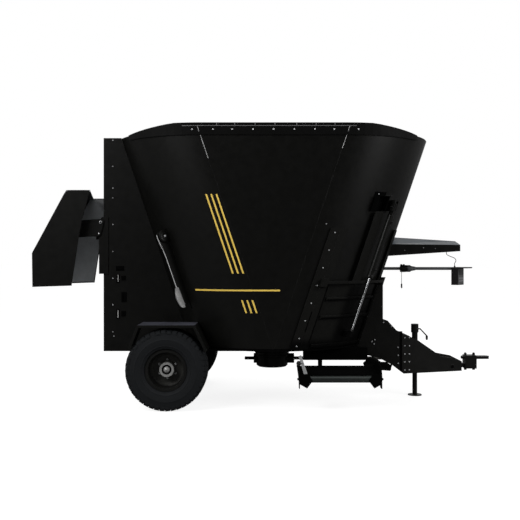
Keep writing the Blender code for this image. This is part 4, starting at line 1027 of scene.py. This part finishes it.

# Canopy and indicator: a folded steel roof, its top lightened with painted sky light in
# a bluish dust colour, stands over the front arm, whose clamped tube carries the weighing
# box with its visor.
# The canopy's top carries painted sky light in a bluish dust colour.
canopy_paint = finish(
    "canopy_paint", (0.0030, 0.0030, 0.0027), 0.03, 0.34, specular=0.14, chips=0.4, dust=0.6,
    lying=1.0, top_light=(0.13, 0.15, 0.17, 1.0)
)
wear_it(canopy_paint, "front_canopy")
lines = [across(side, x, z) for x, z in ((1.633, 1.748), (1.853, 1.777), (1.997, 1.766)) for side in (-1, 1)]
bolts_on("canopy_bolts", "front_canopy", lines, 0.007)
arm_steel = finish(
    "dull_zinc", (0.060, 0.062, 0.064), 0.1, 0.45, metallic=0.2, specular=0.3, chips=0.2, edge=0.001,
    dust=0.05, wave=0.0
)
wear_it(arm_steel, "indicator_arm")
dark_plastic = finish(
    "dark_plastic", (0.0042, 0.0042, 0.0045), 0.01, 0.5, specular=0.2, chips=0.3, edge=0.002, dust=0.02,
    peel=0.6, wave=0.0
)
# Paler plastic for the indicator's face, partly painted light on the face turned to the light.
lit_face_plastic = finish(
    "lit_face_plastic", (0.040, 0.040, 0.041), 0.08, 0.5, specular=0.2, chips=0.3, edge=0.002, dust=0.02,
    peel=0.6, wave=0.0
)
wear_it(dark_plastic, "indicator_box")
arm_z = 1.527
arm_way = standing((1.624, 0, arm_z), (1, 0, 0))
bm = bmesh.new()
sleeve = [(0.0422, 0.0), (0.0445, 0.002), (0.0445, 0.050), (0.0430, 0.060), (0.0400, 0.122), (0.0342, 0.124)]
add_rings(bm, [(0.0342, 0.0), *sleeve], arm_way, 28, closed=True)
for x in (1.636, 1.666):
    for side in (-1, 1):
        add_bolt(bm, standing((x, side * 0.030, arm_z + 0.044), (0, 0, 1)), 0.012)
piece("arm_clamp_sleeve", bm, frame_paint)
bm = bmesh.new()
cone = [(0.0185, 0.1215), (0.034, 0.1215), (0.030, 0.140), (0.0215, 0.185), (0.0185, 0.186)]
add_rings(bm, cone, arm_way, 28, closed=True)
piece("arm_socket", bm, arm_steel, sharp=50)

# Indicator's face: a moulded panel turned half towards the machine's right, with dark
# glass above two rows of plain keys. The panel is paler than the dark housing, partly as
# painted light on the face turned to the light.
box_way = Matrix.Translation((2.325, 0, 0)) @ Matrix.Rotation(math.radians(-35), 4, "Z")
face_way = box_way @ Matrix.Translation((0.0412, 0, 1.4275)) @ Matrix.Rotation(math.radians(90), 4, "Y")


def add_face_block(bm, low, high, left, right, depth):
    """A block on the box's face: heights about its middle, and across it."""
    add_prism(bm, [(-high, left), (-low, left), (-low, right), (-high, right)], face_way, depth)


bm = bmesh.new()
add_face_block(bm, -0.090, 0.098, -0.093, 0.093, 0.003)
piece("indicator_panel", bm, lit_face_plastic)
bm = bmesh.new()
add_face_block(bm, 0.020, 0.080, -0.075, 0.075, 0.0045)
piece("indicator_glass", bm, dark_plastic)
grey_plastic = finish("grey_plastic", (0.10, 0.10, 0.105), 0.2, 0.5, chips=0.3, edge=0.002, peel=0.6, wave=0.0)
bm = bmesh.new()
for low in (-0.030, -0.062):
    for i in range(5):
        left = -0.074 + 0.0305 * i
        add_face_block(bm, low, low + 0.022, left, left + 0.024, 0.0060)
piece("indicator_keys", bm, grey_plastic)

# Indicator cable and lanyard: a thin sheathed cable hangs from the canopy's gland to
# the weighing box's socket, and a short cord holds a pull handle under the clamp.


def cord_piece(name, points, radius, material):
    curve = bpy.data.curves.new(name, "CURVE")
    curve.dimensions = "3D"
    curve.bevel_depth = radius
    curve.bevel_resolution = 3
    curve.use_fill_caps = True
    spline = curve.splines.new("POLY")
    spline.points.add(len(points) - 1)
    for point, place in zip(spline.points, points):
        point.co = (*place, 1.0)
    obj = add_object(name, curve)
    curve.materials.append(material)
    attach(obj, "root")
    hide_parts(name.removesuffix("_sheath"))
    return obj


def smooth_route(points, count):
    """Points along one smooth curve through the given ones."""
    ends = [points[0] * 2 - points[1], *points, points[-1] * 2 - points[-2]]
    route = []
    spans = len(points) - 1
    for i in range(count + 1):
        along = spans * i / count
        k = min(int(along), spans - 1)
        t = along - k
        a, b, c, d = ends[k : k + 4]
        bend = (2 * a - 5 * b + 4 * c - d) * t**2 + (3 * b - a - 3 * c + d) * t**3
        route.append(0.5 * (2 * b + (c - a) * t + bend))
    return route


cable_stops = [
    (2.19, 0, 1.7277), (2.19, 0, 1.714), (2.20, 0, 1.694), (2.245, 0, 1.672), (2.292, 0, 1.652),
    (2.306, 0, 1.620), (2.291, 0, 1.595), (2.29, 0, 1.580), (2.29, 0, 1.5603),
]
cable_route = smooth_route([Vector(p) for p in cable_stops], 24)
cable = cord_piece("indicator_cable_sheath", cable_route, 0.004, black_rubber)
lanyard_route = [(1.64, 0, 1.4847), (1.64, 0, 1.42), (1.64, 0, 1.3425)]
lanyard = cord_piece("lanyard_sheath", lanyard_route, 0.003, black_rubber)
bm = bmesh.new()
grip = [
    (0.004, 0.0), (0.0085, 0.003), (0.0098, 0.012), (0.0088, 0.028), (0.0098, 0.044), (0.0085, 0.053),
    (0.004, 0.0562)
]
add_rings(bm, grip, Matrix.Translation((1.64, 0, 1.286)), 18)
handle = piece("lanyard_grip", bm, black_rubber, sharp=50)
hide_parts("lanyard_handle")

# Stage: pale floor under plain studio light; the white surround is what the camera
# and gloss see, while the lamps alone set the level.
bm = bmesh.new()
add_block(bm, -150, 150, -150, 150, -0.02, 0.0)
floor_mesh = bpy.data.meshes.new("studio_floor")
bm.to_mesh(floor_mesh)
bm.free()
floor_material = bpy.data.materials.new("pale_floor")
floor_material.use_nodes = True
tree = floor_material.node_tree
shader = tree.nodes["Principled BSDF"]
shader.inputs["Base Color"].default_value = (0.20, 0.20, 0.20, 1)
shader.inputs["Roughness"].default_value = 0.9
shader.inputs["Specular IOR Level"].default_value = 0.1
light_path = node(tree, "ShaderNodeLightPath")
lit = maths(tree, "ADD", light_path.outputs["Is Camera Ray"], light_path.outputs["Is Transmission Ray"])
lit = times(tree, lit, 0.86)
shader.inputs["Emission Color"].default_value = (1, 1, 1, 1)
tree.links.new(lit, shader.inputs["Emission Strength"])
floor_mesh.materials.append(floor_material)
add_object("studio_floor", floor_mesh)

world = bpy.data.worlds.new("studio")
scene.world = world
world.use_nodes = True
tree = world.node_tree
background = tree.nodes["Background"]
background.inputs["Color"].default_value = (1, 1, 1, 1)
path = node(tree, "ShaderNodeLightPath")
seen = maths(tree, "ADD", path.outputs["Is Camera Ray"], path.outputs["Is Transmission Ray"], True)
way = node(tree, "ShaderNodeSeparateXYZ", {0: node(tree, "ShaderNodeTexCoord").outputs["Generated"]})
near = ramp(tree, times(tree, way.outputs["Y"], -1.0), 0.35, 0.90)
beyond = ramp(tree, way.outputs["Y"], 0.35, 0.90)
low = maths(tree, "SUBTRACT", 1.0, ramp(tree, way.outputs["Z"], 0.0, 0.14))
flag = maths(tree, "MAXIMUM", near, times(tree, beyond, low))
gloss = maths(tree, "SUBTRACT", 0.45, times(tree, flag, 0.95))
gloss = times(tree, gloss, path.outputs["Is Glossy Ray"])
strength = maths(tree, "ADD", times(tree, seen, 0.45), maths(tree, "ADD", gloss, 0.55))
tree.links.new(strength, background.inputs["Strength"])


def area_lamp(name, place, aim, size, power):
    data = bpy.data.lights.new(name, "AREA")
    data.shape = "RECTANGLE"
    data.size, data.size_y = size
    data.energy = power
    lamp = add_object(name, data)
    lamp.location = place
    lamp.rotation_euler = (Vector(aim) - Vector(place)).to_track_quat("-Z", "Y").to_euler()


area_lamp("key_lamp", (-7.0, -7.0, 7.0), (0, 0, 1.2), (5, 4), 900)
area_lamp("fill_lamp", (8.0, -5.0, 5.0), (0, 0, 1.2), (4, 4), 500)
area_lamp("back_lamp", (0.0, 9.0, 7.0), (0, 0, 1.5), (6, 3), 400)

scene.view_settings.view_transform = "Standard"
